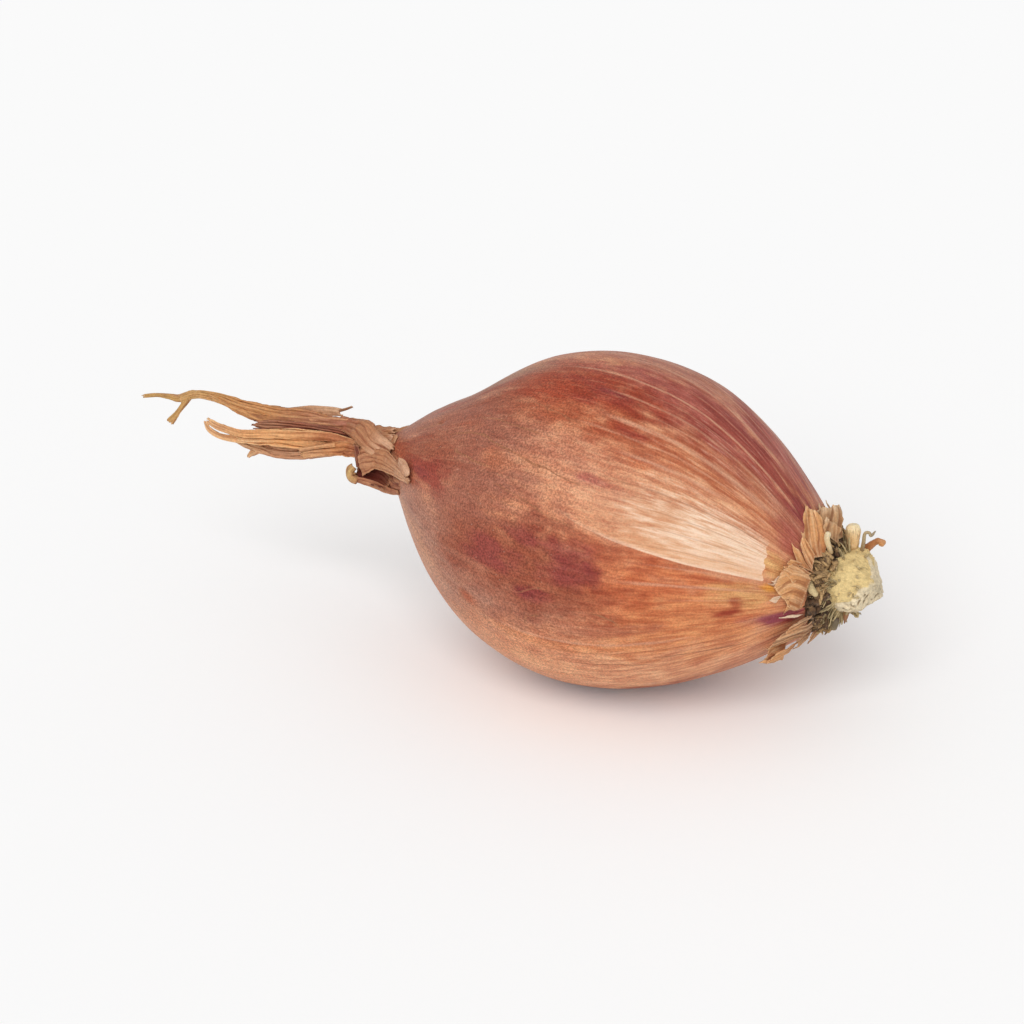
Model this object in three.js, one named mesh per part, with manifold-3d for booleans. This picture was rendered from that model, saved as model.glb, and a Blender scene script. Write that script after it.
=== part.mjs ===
// A whole shallot lying on its side: a round bulb on a small flat spot, the tuft of dry leaves
// at its neck and the root plate with its torn skin flakes at the other end.
// Millimetres, +Z up. The origin is the centre of the flat spot that the bulb rests on,
// +X points to the root end and -X to the neck.
import * as THREE from "three";
import { mergeVertices } from "three/addons/utils/BufferGeometryUtils.js";
import Module from "manifold-3d";

const wasm = await Module();
wasm.setup();

// ---- Driving dimensions ----

const GIRTH = 44; // largest diameter of the bulb
const REST_DEPTH = 0.55; // how deep the rest spot is pressed into the round
const AXIS_HEIGHT = GIRTH / 2 - REST_DEPTH;
const GAP = 0.35; // clearance between the bulb and what lies on it
const BULB_SIDES = 60;
const BULB_RINGS = 36;

// Half outline of the bulb: distance along the axis, and radius for a bulb of that girth.
const OUTLINE = [
  [-30.4, 3.0],
  [-29.2, 4.3],
  [-27.4, 6.6],
  [-25.0, 9.6],
  [-21.5, 13.3],
  [-16.5, 17.1],
  [-10.5, 20.1],
  [-5.0, 21.6],
  [0.0, GIRTH / 2],
  [6.0, 21.4],
  [12.0, 19.6],
  [17.0, 17.0],
  [21.0, 14.3],
  [24.5, 11.4],
  [27.2, 8.9],
  [28.8, 7.2],
];
const NECK_X = OUTLINE[0][0];
const ROOT_X = OUTLINE[OUTLINE.length - 1][0];

// The axis bends up towards the neck and droops towards the root.
const NECK_BEND = { from: -13, rise: 4.6 };
const ROOT_BEND = { from: 8, rise: -2.8 };

// A shallow hollow over the shoulder of the neck, on the upper side.
const HOLLOW = { at: -20, reach: 5.5, depth: 1.5, turn: 0.5 };

// ---- The bulb's form ----

// How far the bulb's axis is raised at x.
function axisRise(x) {
  const neck = Math.max(0, (NECK_BEND.from - x) / (NECK_BEND.from - NECK_X));
  const root = Math.max(0, (x - ROOT_BEND.from) / (ROOT_X - ROOT_BEND.from));
  return NECK_BEND.rise * neck ** 2 + ROOT_BEND.rise * root ** 2;
}

const NECK_END = new THREE.Vector3(NECK_X, 0, AXIS_HEIGHT + axisRise(NECK_X));
const ROOT_END = new THREE.Vector3(ROOT_X, 0, AXIS_HEIGHT + axisRise(ROOT_X));

// The whole round bulb, before the rest spot is cut, larger all over by `grow`.
function bulbForm(grow = 0) {
  const spline = new THREE.SplineCurve(OUTLINE.map(([x, r]) => new THREE.Vector2(r, x)));
  const profile = [new THREE.Vector2(0, NECK_X - grow)];
  for (let ring = 0; ring <= BULB_RINGS; ring += 1) {
    const point = spline.getPoint(ring / BULB_RINGS);
    const run = spline.getTangent(ring / BULB_RINGS);
    profile.push(new THREE.Vector2(point.x + grow * run.y, point.y - grow * run.x));
  }
  profile.push(new THREE.Vector2(0, ROOT_X + grow));
  const form = new THREE.LatheGeometry(profile, BULB_SIDES);
  form.rotateZ(-Math.PI / 2);
  const places = form.attributes.position;
  for (let i = 0; i < places.count; i += 1) {
    const x = places.getX(i);
    const y = places.getY(i);
    const z = places.getZ(i);
    const radius = Math.hypot(y, z);
    const upward = Math.max(0, Math.cos(Math.atan2(-y, z) + HOLLOW.turn));
    const sink = HOLLOW.depth * Math.exp(-(((x - HOLLOW.at) / HOLLOW.reach) ** 2)) * upward ** 2;
    const shrink = radius > sink ? (radius - sink) / radius : 1;
    places.setXYZ(i, x, y * shrink, z * shrink + AXIS_HEIGHT + axisRise(x));
  }
  return form;
}

// ---- Solids ----

// A closed three.js geometry as a manifold solid.
function solidOf(geometry) {
  const bare = new THREE.BufferGeometry();
  bare.setAttribute("position", geometry.attributes.position);
  bare.setIndex(geometry.index);
  const merged = mergeVertices(bare, 1e-4);
  const vertProperties = merged.attributes.position.array;
  const triVerts = new Uint32Array(merged.index.array);
  return new wasm.Manifold(new wasm.Mesh({ numProp: 3, vertProperties, triVerts }));
}

// A manifold solid as a three.js geometry.
function geometryOf(solid) {
  const mesh = solid.getMesh();
  const geometry = new THREE.BufferGeometry();
  geometry.setAttribute("position", new THREE.BufferAttribute(mesh.vertProperties, 3));
  geometry.setIndex(new THREE.BufferAttribute(mesh.triVerts, 1));
  geometry.computeVertexNormals();
  return geometry;
}

// The largest body of a solid that a cut may have left in several.
function mainBody(solid) {
  return solid.decompose().sort((a, b) => b.volume() - a.volume())[0];
}

// A value between the entries of a list, at t from 0 to 1 along it.
function along(values, t) {
  const place = t * (values.length - 1);
  const low = Math.min(Math.floor(place), values.length - 2);
  return THREE.MathUtils.lerp(values[low], values[low + 1], place - low);
}

// Bends a unit geometry along stations of [x, y, z, size]. `place` turns a vertex of the unit
// geometry into its distance along and its offsets across and outwards.
function bend(unit, stations, face, place) {
  const path = new THREE.CatmullRomCurve3(stations.map(([x, y, z]) => new THREE.Vector3(x, y, z)));
  const sizes = stations.map((station) => station[3]);
  const outward = new THREE.Vector3(...face).normalize();
  const places = unit.attributes.position;
  const vertex = new THREE.Vector3();
  for (let i = 0; i < places.count; i += 1) {
    vertex.fromBufferAttribute(places, i);
    const { t, across, out } = place(vertex, (at) => along(sizes, at));
    const run = path.getTangent(t);
    const side = new THREE.Vector3().crossVectors(outward, run).normalize();
    const normal = new THREE.Vector3().crossVectors(run, side);
    const point = path.getPoint(t).addScaledVector(side, across).addScaledVector(normal, out);
    places.setXYZ(i, point.x, point.y, point.z);
  }
  return solidOf(unit);
}

// A strip of dry leaf or skin: its stations hold its width, and `cup` hollows its face.
function strip({ stations, face, thick = 0.6, cup = 0 }) {
  const steps = (stations.length - 1) * 3;
  const unit = new THREE.BoxGeometry(1, 1, 1, steps, cup ? 4 : 2, 1);
  return bend(unit, stations, face, ({ x, y, z }, size) => {
    const t = x + 0.5;
    return { t, across: y * size(t), out: z * thick - cup * (1 - 4 * y * y) };
  });
}

// A round root, stub or rod: its stations hold its radius.
function rod({ stations, sides = 8 }) {
  const steps = (stations.length - 1) * 3;
  const unit = new THREE.CylinderGeometry(1, 1, 1, sides, steps);
  return bend(unit, stations, [0.1, -1, 0.2], ({ x, y, z }, size) => {
    const t = y + 0.5;
    return { t, across: x * size(t), out: -z * size(t) };
  });
}

// ---- Materials ----

const finish = (color, roughness) => new THREE.MeshStandardMaterial({ color, roughness, metalness: 0 });
const SKIN = finish(0xb8755a, 0.4);
const DRY_LEAF = finish(0xc98f5a, 0.7);
const PAPER = finish(0xc8935e, 0.65);
const PLATE = finish(0xe1cd96, 0.85);
const ROOT = finish(0xc9a070, 0.6);
const SOIL = finish(0x5f5040, 0.95);

// ---- Neck tuft, in a frame whose origin is the centre of the bulb's neck end ----

const LEAF_FACE = [0, -0.88, 0.47]; // the broad side of most leaves looks forward and up

const bulbAtNeck = solidOf(bulbForm(GAP)).translate(NECK_END.clone().negate().toArray());
const sleeve = rod({
  sides: 20,
  stations: [
    [-5.3, 0.1, 1.3, 2.8],
    [-3.4, 0.0, 0.7, 2.7],
    [-1.4, -0.1, -0.1, 2.9],
    [0.7, -0.2, -0.4, 4.7],
  ],
});

const UPPER_LEAF = {
  face: LEAF_FACE,
  stations: [
    [-6.1, 1.9, 3.4, 2.0],
    [-10.0, 1.8, 3.4, 2.1],
    [-14.9, 1.5, 2.5, 2.6],
    [-20.7, 1.4, 2.0, 2.9],
    [-23.4, 1.5, 2.1, 2.4],
    [-25.4, 1.7, 2.6, 2.0],
    [-27.4, 1.9, 2.8, 1.3],
    [-31.3, 2.4, 2.4, 1.1],
    [-33.0, 2.6, 1.5, 1.3],
    [-35.8, 2.9, 1.0, 0.8],
    [-40.1, 3.2, 0.1, 0.5],
  ],
};
const UPPER_PRONG = {
  face: LEAF_FACE,
  stations: [
    [-32.6, 2.5, 1.8, 1.0],
    [-33.7, 2.0, 0.0, 0.7],
    [-34.3, 1.5, -1.2, 0.7],
    [-35.0, 1.0, -2.1, 0.8],
  ],
};
const MIDDLE_LEAF = {
  face: LEAF_FACE,
  stations: [
    [-6.2, -1.1, 0.2, 1.6],
    [-8.5, -1.2, 0.6, 2.0],
    [-10.9, -1.4, 0.7, 2.3],
    [-13.8, -1.8, 0.3, 2.8],
    [-16.7, -2.1, 0.1, 2.5],
    [-19.5, -2.4, 0.0, 2.1],
    [-23.4, -2.7, -0.5, 1.9],
  ],
};
const MIDDLE_FRAYS = [
  [
    [-22.8, -2.7, -0.1, 1.0],
    [-24.6, -2.8, 0.6, 0.8],
    [-26.7, -2.7, 1.1, 0.5],
  ],
  [
    [-22.8, -2.7, -1.0, 0.9],
    [-25.1, -3.0, -1.3, 0.6],
    [-26.3, -3.1, -0.5, 0.6],
    [-27.6, -3.0, 0.4, 0.5],
  ],
];

const POUCH = {
  face: [0, -0.55, -0.83],
  thick: 0.5,
  cup: -0.5,
  stations: [
    [-4.8, -3.5, -3.0, 2.6],
    [-2.6, -3.7, -3.8, 3.2],
    [0.0, -4.3, -4.2, 3.0],
    [1.6, -5.2, -4.0, 2.0],
  ],
};
const POUCH_ROLL = {
  stations: [
    [-4.6, -4.4, -2.9, 0.75],
    [-5.4, -4.5, -2.3, 0.8],
    [-5.3, -4.4, -1.4, 0.6],
  ],
};

const neckPieces = {
  neck_collar: [PAPER, mainBody(sleeve.subtract(bulbAtNeck))],
  neck_band: [
    PAPER,
    strip({
      face: [-0.6, -0.72, 0.3],
      thick: 0.45,
      stations: [
        [-1.6, -3.9, 3.2, 1.8],
        [0.7, -5.2, 2.2, 2.0],
        [2.8, -7.2, 1.6, 1.9],
        [4.6, -9.1, 1.5, 1.5],
        [6.1, -10.9, 1.4, 0.9],
      ],
    }),
  ],
  neck_pouch: [PAPER, mainBody(strip(POUCH).add(rod(POUCH_ROLL)).subtract(bulbAtNeck))],
  neck_tag: [
    PAPER,
    strip({
      face: [0.2, -0.9, 0.5],
      thick: 0.4,
      stations: [
        [-2.3, 0.2, 4.0, 1.0],
        [-1.4, 0.3, 4.1, 0.9],
        [-0.6, 0.3, 4.4, 0.6],
      ],
    }),
  ],
  leaf_upper: [DRY_LEAF, strip(UPPER_LEAF).add(strip(UPPER_PRONG))],
  leaf_back: [
    DRY_LEAF,
    strip({
      face: LEAF_FACE,
      thick: 0.35,
      stations: [
        [-15.4, 3.1, 3.1, 0.9],
        [-12.4, 3.2, 3.5, 0.9],
        [-9.4, 3.2, 3.8, 0.7],
        [-8.5, 3.2, 4.3, 0.3],
        [-7.6, 3.2, 4.6, 0.25],
      ],
    }),
  ],
  leaf_inner: [
    DRY_LEAF,
    strip({
      face: LEAF_FACE,
      thick: 0.5,
      stations: [
        [-6.2, 0.4, 1.6, 1.2],
        [-10.0, 0.3, 1.5, 1.2],
        [-14.0, 0.2, 0.7, 0.9],
        [-18.0, 0.2, 0.4, 0.7],
      ],
    }),
  ],
  leaf_middle: [
    DRY_LEAF,
    MIDDLE_FRAYS.reduce(
      (leaf, stations) => leaf.add(strip({ face: LEAF_FACE, stations })),
      strip(MIDDLE_LEAF),
    ),
  ],
  leaf_lower: [
    DRY_LEAF,
    strip({
      face: LEAF_FACE,
      thick: 0.5,
      stations: [
        [-10.2, 0.4, -2.1, 1.0],
        [-14.4, -0.4, -3.1, 1.1],
        [-17.3, -0.6, -3.4, 1.2],
        [-19.8, -1.0, -3.4, 1.2],
        [-22.2, -1.6, -2.9, 0.9],
      ],
    }),
  ],
  leaf_short: [
    DRY_LEAF,
    strip({
      face: LEAF_FACE,
      thick: 0.5,
      stations: [
        [-6.2, -2.7, 0.0, 1.2],
        [-7.5, -2.9, 0.3, 1.4],
        [-9.1, -3.1, -0.3, 1.5],
        [-11.0, -3.3, -1.2, 1.4],
        [-13.4, -3.6, -1.7, 1.3],
      ],
    }),
  ],
};

// ---- Root end, in a frame whose origin is the centre of the bulb's root end ----

const bulbAtRoot = solidOf(bulbForm(GAP)).translate(ROOT_END.clone().negate().toArray());
const STUMP_RADIUS = 3.7;
const CRUST = { inner: STUMP_RADIUS + 0.35, outer: 6.7, far: 5.0, from: 0.35, to: 2.6 };

// The ring of soil round the stump, as a closed section turned about the axis.
function crustRing() {
  const section = [
    [CRUST.inner, CRUST.from],
    [CRUST.outer, CRUST.from],
    [CRUST.outer - 0.3, (CRUST.from + CRUST.to) / 2],
    [CRUST.far, CRUST.to],
    [CRUST.inner, CRUST.to],
    [CRUST.inner, CRUST.from],
  ];
  const ring = new THREE.LatheGeometry(section.map(([r, x]) => new THREE.Vector2(r, x)), 32);
  ring.rotateZ(-Math.PI / 2);
  return solidOf(ring);
}

// A loose flake of skin. It starts on the root ring, `turn` degrees round from the top towards
// the front, and its tip lies `reach` back along the bulb, at the distance `out` from the axis.
function skinFlake({ turn, reach, out, width, tipWidth = width * 0.6, foot = 7.5, thick = 0.4 }) {
  const angle = THREE.MathUtils.degToRad(turn);
  const ray = [-Math.sin(angle), Math.cos(angle)];
  const station = (x, radius, size) => [x, ray[0] * radius, ray[1] * radius, size];
  const middle = (foot + out) / 2 + 0.3;
  const stations = [
    station(0.5, foot, width),
    station(0.3 - reach / 2, middle, width),
    station(-reach, out, tipWidth),
  ];
  return mainBody(strip({ face: [0.6, ...ray], thick, stations }).subtract(bulbAtRoot));
}

const FLAKES = {
  skin_flake_upper: { turn: 30, reach: 1.8, out: 9.9, width: 2.4 },
  skin_flake_sliver: { turn: 47, reach: 1.8, out: 9.7, width: 1.0 },
  skin_flake_side: { turn: 61, reach: 2.4, out: 10.6, width: 1.6 },
  skin_flake_front: { turn: 84, reach: 3.3, out: 11.3, width: 3.4 },
  skin_flake_pale: { turn: 105, reach: 2.8, out: 10.8, width: 0.9 },
  skin_flake_long: { turn: 122, reach: 4.0, out: 11.9, width: 2.1 },
  skin_flake_chip: { turn: 163, reach: 0.6, out: 8.3, width: 1.6 },
  skin_flake_under: { turn: 196, reach: 2.4, out: 10.4, width: 2.2 },
  skin_flake_rear_low: { turn: 236, reach: 2.0, out: 10.0, width: 2.6 },
  skin_flake_rear: { turn: 282, reach: 2.6, out: 10.7, width: 2.4 },
};

const rootPieces = {
  root_plate: [
    PLATE,
    rod({
      sides: 18,
      stations: [
        [0.35, -0.1, -0.1, STUMP_RADIUS - 0.3],
        [2.6, -0.1, -0.1, STUMP_RADIUS - 0.1],
        [4.6, -0.2, 0.0, STUMP_RADIUS],
        [6.4, -0.3, 0.1, 3.2],
        [7.8, -0.4, 0.1, 2.3],
      ],
    }),
  ],
  root_crust: [SOIL, crustRing()],
  root_stub_amber: [
    ROOT,
    rod({
      stations: [
        [3.6, 1.3, 4.7, 0.7],
        [3.6, 1.3, 5.7, 0.85],
        [3.5, 1.3, 6.6, 0.85],
        [3.5, 1.3, 7.3, 0.5],
      ],
    }),
  ],
  root_stub_pale: [
    ROOT,
    rod({
      stations: [
        [1.8, -3.4, 6.1, 0.3],
        [1.6, -3.4, 6.9, 0.35],
        [1.4, -3.1, 7.9, 0.4],
      ],
    }),
  ],
  root_curl: [
    ROOT,
    rod({
      sides: 6,
      stations: [
        [5.1, 1.3, 4.5, 0.22],
        [5.0, 1.2, 6.1, 0.22],
        [5.3, 1.2, 6.7, 0.2],
        [5.8, 1.4, 6.4, 0.2],
        [6.3, 1.5, 6.9, 0.2],
      ],
    }),
  ],
  root_hook: [
    ROOT,
    rod({
      stations: [
        [5.0, 2.6, 3.4, 0.45],
        [5.7, 2.5, 4.4, 0.35],
        [6.6, 2.3, 5.1, 0.35],
        [7.3, 2.1, 5.0, 0.45],
      ],
    }),
  ],
  root_thorn: [
    ROOT,
    rod({
      sides: 6,
      stations: [
        [4.3, -2.5, -3.4, 0.35],
        [4.2, -2.6, -3.9, 0.25],
        [4.1, -2.6, -4.5, 0.1],
      ],
    }),
  ],
  root_nub: [
    ROOT,
    rod({
      stations: [
        [3.3, -3.9, -3.7, 0.4],
        [3.2, -4.1, -4.2, 0.5],
        [3.0, -4.2, -4.9, 0.35],
      ],
    }),
  ],
  skin_flake_top: [
    PAPER,
    mainBody(
      strip({
        face: [0.3, -0.95, 0.1],
        thick: 0.4,
        stations: [
          [0.8, 0.5, 7.3, 3.1],
          [0.5, 0.6, 8.7, 3.2],
          [0.1, 0.6, 10.3, 2.7],
        ],
      }).subtract(bulbAtRoot),
    ),
  ],
  skin_flake_bottom: [
    PAPER,
    strip({
      face: [0.3, -0.75, -0.6],
      thick: 0.4,
      stations: [
        [-2.7, -6.4, -8.4, 1.4],
        [-3.7, -7.2, -9.1, 2.3],
        [-5.1, -7.8, -9.8, 2.0],
      ],
    }),
  ],
};
for (const [name, flake] of Object.entries(FLAKES)) rootPieces[name] = [PAPER, skinFlake(flake)];

// ---- Assembly ----

// A group of named meshes at the place where its pieces grow.
function assembly(pieces, origin) {
  const group = new THREE.Group();
  group.position.copy(origin);
  for (const [name, [material, solid]] of Object.entries(pieces)) {
    const mesh = new THREE.Mesh(geometryOf(solid), material);
    mesh.name = name;
    group.add(mesh);
  }
  return group;
}

// The rest spot: everything below the ground plane is cut from the round bulb.
function restedBulb() {
  const under = new THREE.BoxGeometry(GIRTH, GIRTH, GIRTH).translate(0, 0, -GIRTH / 2);
  return solidOf(bulbForm()).subtract(solidOf(under));
}

const shallot = new THREE.Group();
shallot.name = "shallot";
shallot.add(assembly({ bulb: [SKIN, restedBulb()] }, new THREE.Vector3()));
shallot.add(assembly(neckPieces, NECK_END));
shallot.add(assembly(rootPieces, ROOT_END));

export default shallot;
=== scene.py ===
"""A whole shallot lying on its side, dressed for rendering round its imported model.

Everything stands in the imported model's frame, in metres: +X points to the root, -X to the neck
and +Z up. Sizes below are in millimetres and are turned to metres as each mesh is finished.
"""

import logging
import math
import random
from collections.abc import Callable, Sequence
from dataclasses import dataclass, replace
from enum import Enum

import bmesh
import bpy
import numpy as np
from mathutils import Matrix, Vector, noise


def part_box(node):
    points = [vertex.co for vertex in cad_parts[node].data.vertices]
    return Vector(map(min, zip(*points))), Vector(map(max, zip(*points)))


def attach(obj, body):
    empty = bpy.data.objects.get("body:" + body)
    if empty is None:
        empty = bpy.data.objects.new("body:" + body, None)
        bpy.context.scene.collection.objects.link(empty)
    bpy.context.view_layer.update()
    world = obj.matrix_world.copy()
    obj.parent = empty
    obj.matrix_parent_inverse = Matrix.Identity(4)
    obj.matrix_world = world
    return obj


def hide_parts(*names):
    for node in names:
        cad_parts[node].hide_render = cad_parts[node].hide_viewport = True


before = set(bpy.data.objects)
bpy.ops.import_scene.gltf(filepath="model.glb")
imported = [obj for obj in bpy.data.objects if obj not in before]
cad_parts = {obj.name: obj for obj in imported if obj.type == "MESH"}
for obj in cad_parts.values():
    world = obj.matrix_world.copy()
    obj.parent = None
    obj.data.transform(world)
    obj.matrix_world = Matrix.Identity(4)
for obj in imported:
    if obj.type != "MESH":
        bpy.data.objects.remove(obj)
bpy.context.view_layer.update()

MM = 0.001
BODY = "root"
log = logging.getLogger("shallot")

Colour = tuple[float, float, float]
Triple = tuple[float, float, float]
Station = tuple[float, float, float, float]


class Tone(Enum):
    """The tones painted on the bulb's skin."""

    MAROON = (0.29, 0.047, 0.03)
    WINE = (0.23, 0.036, 0.034)
    GARNET = (0.265, 0.05, 0.041)
    PLUM = (0.39, 0.1, 0.072)
    BRICK = (0.35, 0.062, 0.026)
    CHESTNUT = (0.31, 0.086, 0.044)
    EMBER = (0.56, 0.165, 0.064)
    RUST = (0.41, 0.108, 0.047)
    COPPER = (0.53, 0.185, 0.085)
    GINGER = (0.65, 0.25, 0.1)
    APRICOT = (0.59, 0.255, 0.135)
    SAND = (0.72, 0.36, 0.195)
    PEACH = (0.67, 0.325, 0.18)
    VIOLET = (0.27, 0.055, 0.075)
    ROSE = (0.47, 0.19, 0.115)
    DUSK = (0.4, 0.195, 0.13)
    OLIVE = (0.4, 0.24, 0.15)
    UMBER = (0.34, 0.122, 0.076)
    HONEY = (0.66, 0.35, 0.14)
    AMBER = (0.74, 0.33, 0.05)


class Slot(Enum):
    """The record's material slots."""

    SKIN = "skin"
    DRY_LEAF = "dry_leaf"
    COLLAR = "collar"
    FLAKE = "flake"
    PLATE = "plate"
    ROOT = "root"
    SOIL = "soil"


# ---- Small helpers for shapes ----


def smoothstep(low: float, high: float, value: np.ndarray) -> np.ndarray:
    """A soft step from 0 at `low` to 1 at `high`."""
    share = np.clip((value - low) / (high - low), 0.0, 1.0)
    return share * share * (3.0 - 2.0 * share)


def grain_at(points: np.ndarray, octaves: int = 1) -> np.ndarray:
    """Smooth noise, from about -1 to 1, at each row of `points`."""
    return np.array([noise.fractal(row, 1.0, 2.0, octaves) for row in points.tolist()])


def zigzag(value: np.ndarray) -> np.ndarray:
    """A triangular wave from -1 to 1 with a period of 1, for pleats."""
    return 2.0 * np.abs(2.0 * (value - np.floor(value + 0.5))) - 1.0


@dataclass(frozen=True)
class Path:
    """A smooth line through stations of (x, y, z, size), which holds a size along it.

    Attributes:
        stations: Points in millimetres from `origin`, each with its width or radius.
        origin: Where the stations' zero lies in the row frame, in millimetres.
        face: The direction that the broad side of what follows the line looks in.
    """

    stations: Sequence[Station]
    origin: Vector
    face: Triple

    def at(self, share: np.ndarray) -> tuple[np.ndarray, np.ndarray]:
        """Points on the line, and sizes there.

        Args:
            share: Places along the line, from 0 to 1.

        Returns:
            Points in millimetres, one a row, and the size at each.
        """
        given = np.array(self.stations, float)
        before = 2 * given[0] - given[1]
        after = 2 * given[-1] - given[-2]
        known = np.vstack([before, given, after])
        place = np.clip(share, 0.0, 1.0) * (len(given) - 1)
        low = np.minimum(place.astype(int), len(given) - 2)
        t = (place - low)[:, None]
        a, b, c, d = (known[low + step] for step in range(4))
        value = 0.5 * (
            2 * b + (c - a) * t + (2 * a - 5 * b + 4 * c - d) * t**2 + (3 * b - a - 3 * c + d) * t**3
        )
        return value[:, :3] + np.array(self.origin), value[:, 3]

    def frames(self, share: np.ndarray) -> tuple[np.ndarray, ...]:
        """The line's points and sizes, with the directions across it and out of its face.

        Args:
            share: Places along the line, from 0 to 1.

        Returns:
            Points, sizes, unit vectors across and unit vectors outwards.
        """
        step = 1e-3
        points, sizes = self.at(share)
        run = self.at(share + step)[0] - self.at(share - step)[0]
        run /= np.linalg.norm(run, axis=1, keepdims=True)
        across = np.cross(np.array(self.face, float), run)
        across /= np.linalg.norm(across, axis=1, keepdims=True)
        return points, sizes, across, np.cross(run, across)

    def length(self) -> float:
        """How long the line is, in millimetres."""
        points = self.at(np.linspace(0.0, 1.0, 60))[0]
        return float(np.linalg.norm(np.diff(points, axis=0), axis=1).sum())


def read_vertices(verts: Sequence[bmesh.types.BMVert]) -> np.ndarray:
    """The places of vertices, one a row."""
    return np.array([vert.co[:] for vert in verts])


def move_vertices(verts: Sequence[bmesh.types.BMVert], places: np.ndarray) -> None:
    """Moves each vertex to its row of `places`."""
    for vert, place in zip(verts, places.tolist()):
        vert.co = place


def new_form(*numbers: str) -> bmesh.types.BMesh:
    """An empty mesh, in millimetres, that stores a `place` and these numbers for its vertices."""
    bm = bmesh.new()
    bm.verts.layers.float_vector.new("place")
    for name in numbers:
        bm.verts.layers.float.new(name)
    return bm


def write_layer(bm: bmesh.types.BMesh, verts: Sequence, name: str, rows: np.ndarray) -> None:
    """Stores a number, or three, for each vertex, if the mesh has a layer of that name.

    Args:
        bm: The mesh that holds the vertices.
        verts: Its vertices to write to.
        name: The layer's name.
        rows: One value or one row of three for each vertex.
    """
    kinds = bm.verts.layers
    layer = (kinds.float if rows.ndim == 1 else kinds.float_vector).get(name)
    if layer is None:
        return
    for vert, row in zip(verts, rows.tolist()):
        vert[layer] = row


def finished(
    bm: bmesh.types.BMesh,
    name: str,
    material: bpy.types.Material,
    nodes: Sequence[str],
    thick: float = 0.0,
) -> bpy.types.Object:
    """Turns a mesh in millimetres into a dressed piece that stands for its CAD nodes.

    Args:
        bm: The mesh, which is used up.
        name: The piece's name.
        material: Its finish.
        nodes: The CAD nodes that it replaces.
        thick: A wall to give an open sheet, in millimetres.

    Returns:
        The piece, at the origin.
    """
    bmesh.ops.remove_doubles(bm, verts=bm.verts, dist=1e-4)
    bmesh.ops.recalc_face_normals(bm, faces=bm.faces)
    bmesh.ops.scale(bm, vec=(MM, MM, MM), verts=bm.verts)
    for face in bm.faces:
        face.smooth = True
    mesh = bpy.data.meshes.new(name)
    bm.to_mesh(mesh)
    bm.free()
    mesh.materials.append(material)
    piece = bpy.data.objects.new(name, mesh)
    bpy.context.scene.collection.objects.link(piece)
    if thick:
        wall = piece.modifiers.new("wall", "SOLIDIFY")
        wall.thickness = thick * MM
        wall.offset = 0.0
    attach(piece, BODY)
    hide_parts(*nodes)
    log.info("%s: %d vertices", name, len(mesh.vertices))
    return piece


# ---- Small helpers for materials ----


class Sheet:
    """A node tree with short ways to add nodes and join them."""

    def __init__(self, tree: bpy.types.NodeTree) -> None:
        """Keeps the tree to work on."""
        self.tree = tree

    def node(self, kind: str, sockets: dict | None = None, **settings: object) -> bpy.types.Node:
        """Adds a node.

        Args:
            kind: The node's type.
            sockets: Values or other nodes' outputs for its inputs, by name or number.
            **settings: The node's own properties.

        Returns:
            The new node.
        """
        made = self.tree.nodes.new(kind)
        for name, value in settings.items():
            setattr(made, name, value)
        for key, value in (sockets or {}).items():
            if isinstance(value, bpy.types.NodeSocket):
                self.tree.links.new(value, made.inputs[key])
            else:
                made.inputs[key].default_value = value
        return made

    def math(self, operation: str, *values: object, clamp: bool = False) -> bpy.types.NodeSocket:
        """One step of arithmetic on numbers or outputs."""
        sockets = dict(enumerate(values))
        return self.node("ShaderNodeMath", sockets, operation=operation, use_clamp=clamp).outputs[0]

    def stretched(self, vector: object, factors: Triple) -> bpy.types.NodeSocket:
        """A vector with each part multiplied by its factor."""
        sockets = {0: vector, 1: factors}
        return self.node("ShaderNodeVectorMath", sockets, operation="MULTIPLY").outputs[0]

    def fade(self, value: object, low: float, high: float, to: tuple = (0.0, 1.0)) -> object:
        """A soft step of `value` from the first of `to` at `low` to the second at `high`."""
        sockets = {0: value, 1: low, 2: high, 3: to[0], 4: to[1]}
        kind = "ShaderNodeMapRange"
        return self.node(kind, sockets, interpolation_type="SMOOTHSTEP").outputs[0]

    def mix(self, share: object, first: object, second: object, blend: str = "MIX") -> object:
        """Two colours mixed, each a tuple of three or four numbers or an output."""
        whole = [(*c, 1.0) if isinstance(c, tuple) and len(c) == 3 else c for c in (first, second)]
        sockets = {0: share, 6: whole[0], 7: whole[1]}
        kind = "ShaderNodeMix"
        return self.node(kind, sockets, data_type="RGBA", blend_type=blend).outputs[2]

    def cloud(self, vector: object, scale: float, detail: float = 2.0, rough: float = 0.5) -> object:
        """Smooth noise from 0 to 1."""
        sockets = {"Vector": vector, "Scale": scale, "Detail": detail, "Roughness": rough}
        return self.node("ShaderNodeTexNoise", sockets).outputs[0]

    def attribute(self, name: str, output: str = "Vector") -> bpy.types.NodeSocket:
        """An attribute of the piece's own mesh."""
        return self.node("ShaderNodeAttribute", attribute_name=name).outputs[output]

    def place(self) -> bpy.types.NodeSocket:
        """Object coordinates, which are the row frame's metres."""
        return self.node("ShaderNodeTexCoord").outputs["Object"]

    def effect(self, tree: bpy.types.NodeTree, **sockets: object) -> bpy.types.Node:
        """Places a shared effect with this material's own values."""
        made = self.node("ShaderNodeGroup", node_tree=tree)
        for name, value in sockets.items():
            if isinstance(value, bpy.types.NodeSocket):
                self.tree.links.new(value, made.inputs[name])
            else:
                made.inputs[name].default_value = value
        return made

    def bump(self, height: object, depth: float, strength: float = 1.0, under: object = None) -> object:
        """A bump of `depth` millimetres, over another if one is given."""
        sockets = {"Height": height, "Distance": depth * MM, "Strength": strength}
        if under is not None:
            sockets["Normal"] = under
        return self.node("ShaderNodeBump", sockets).outputs[0]


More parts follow.
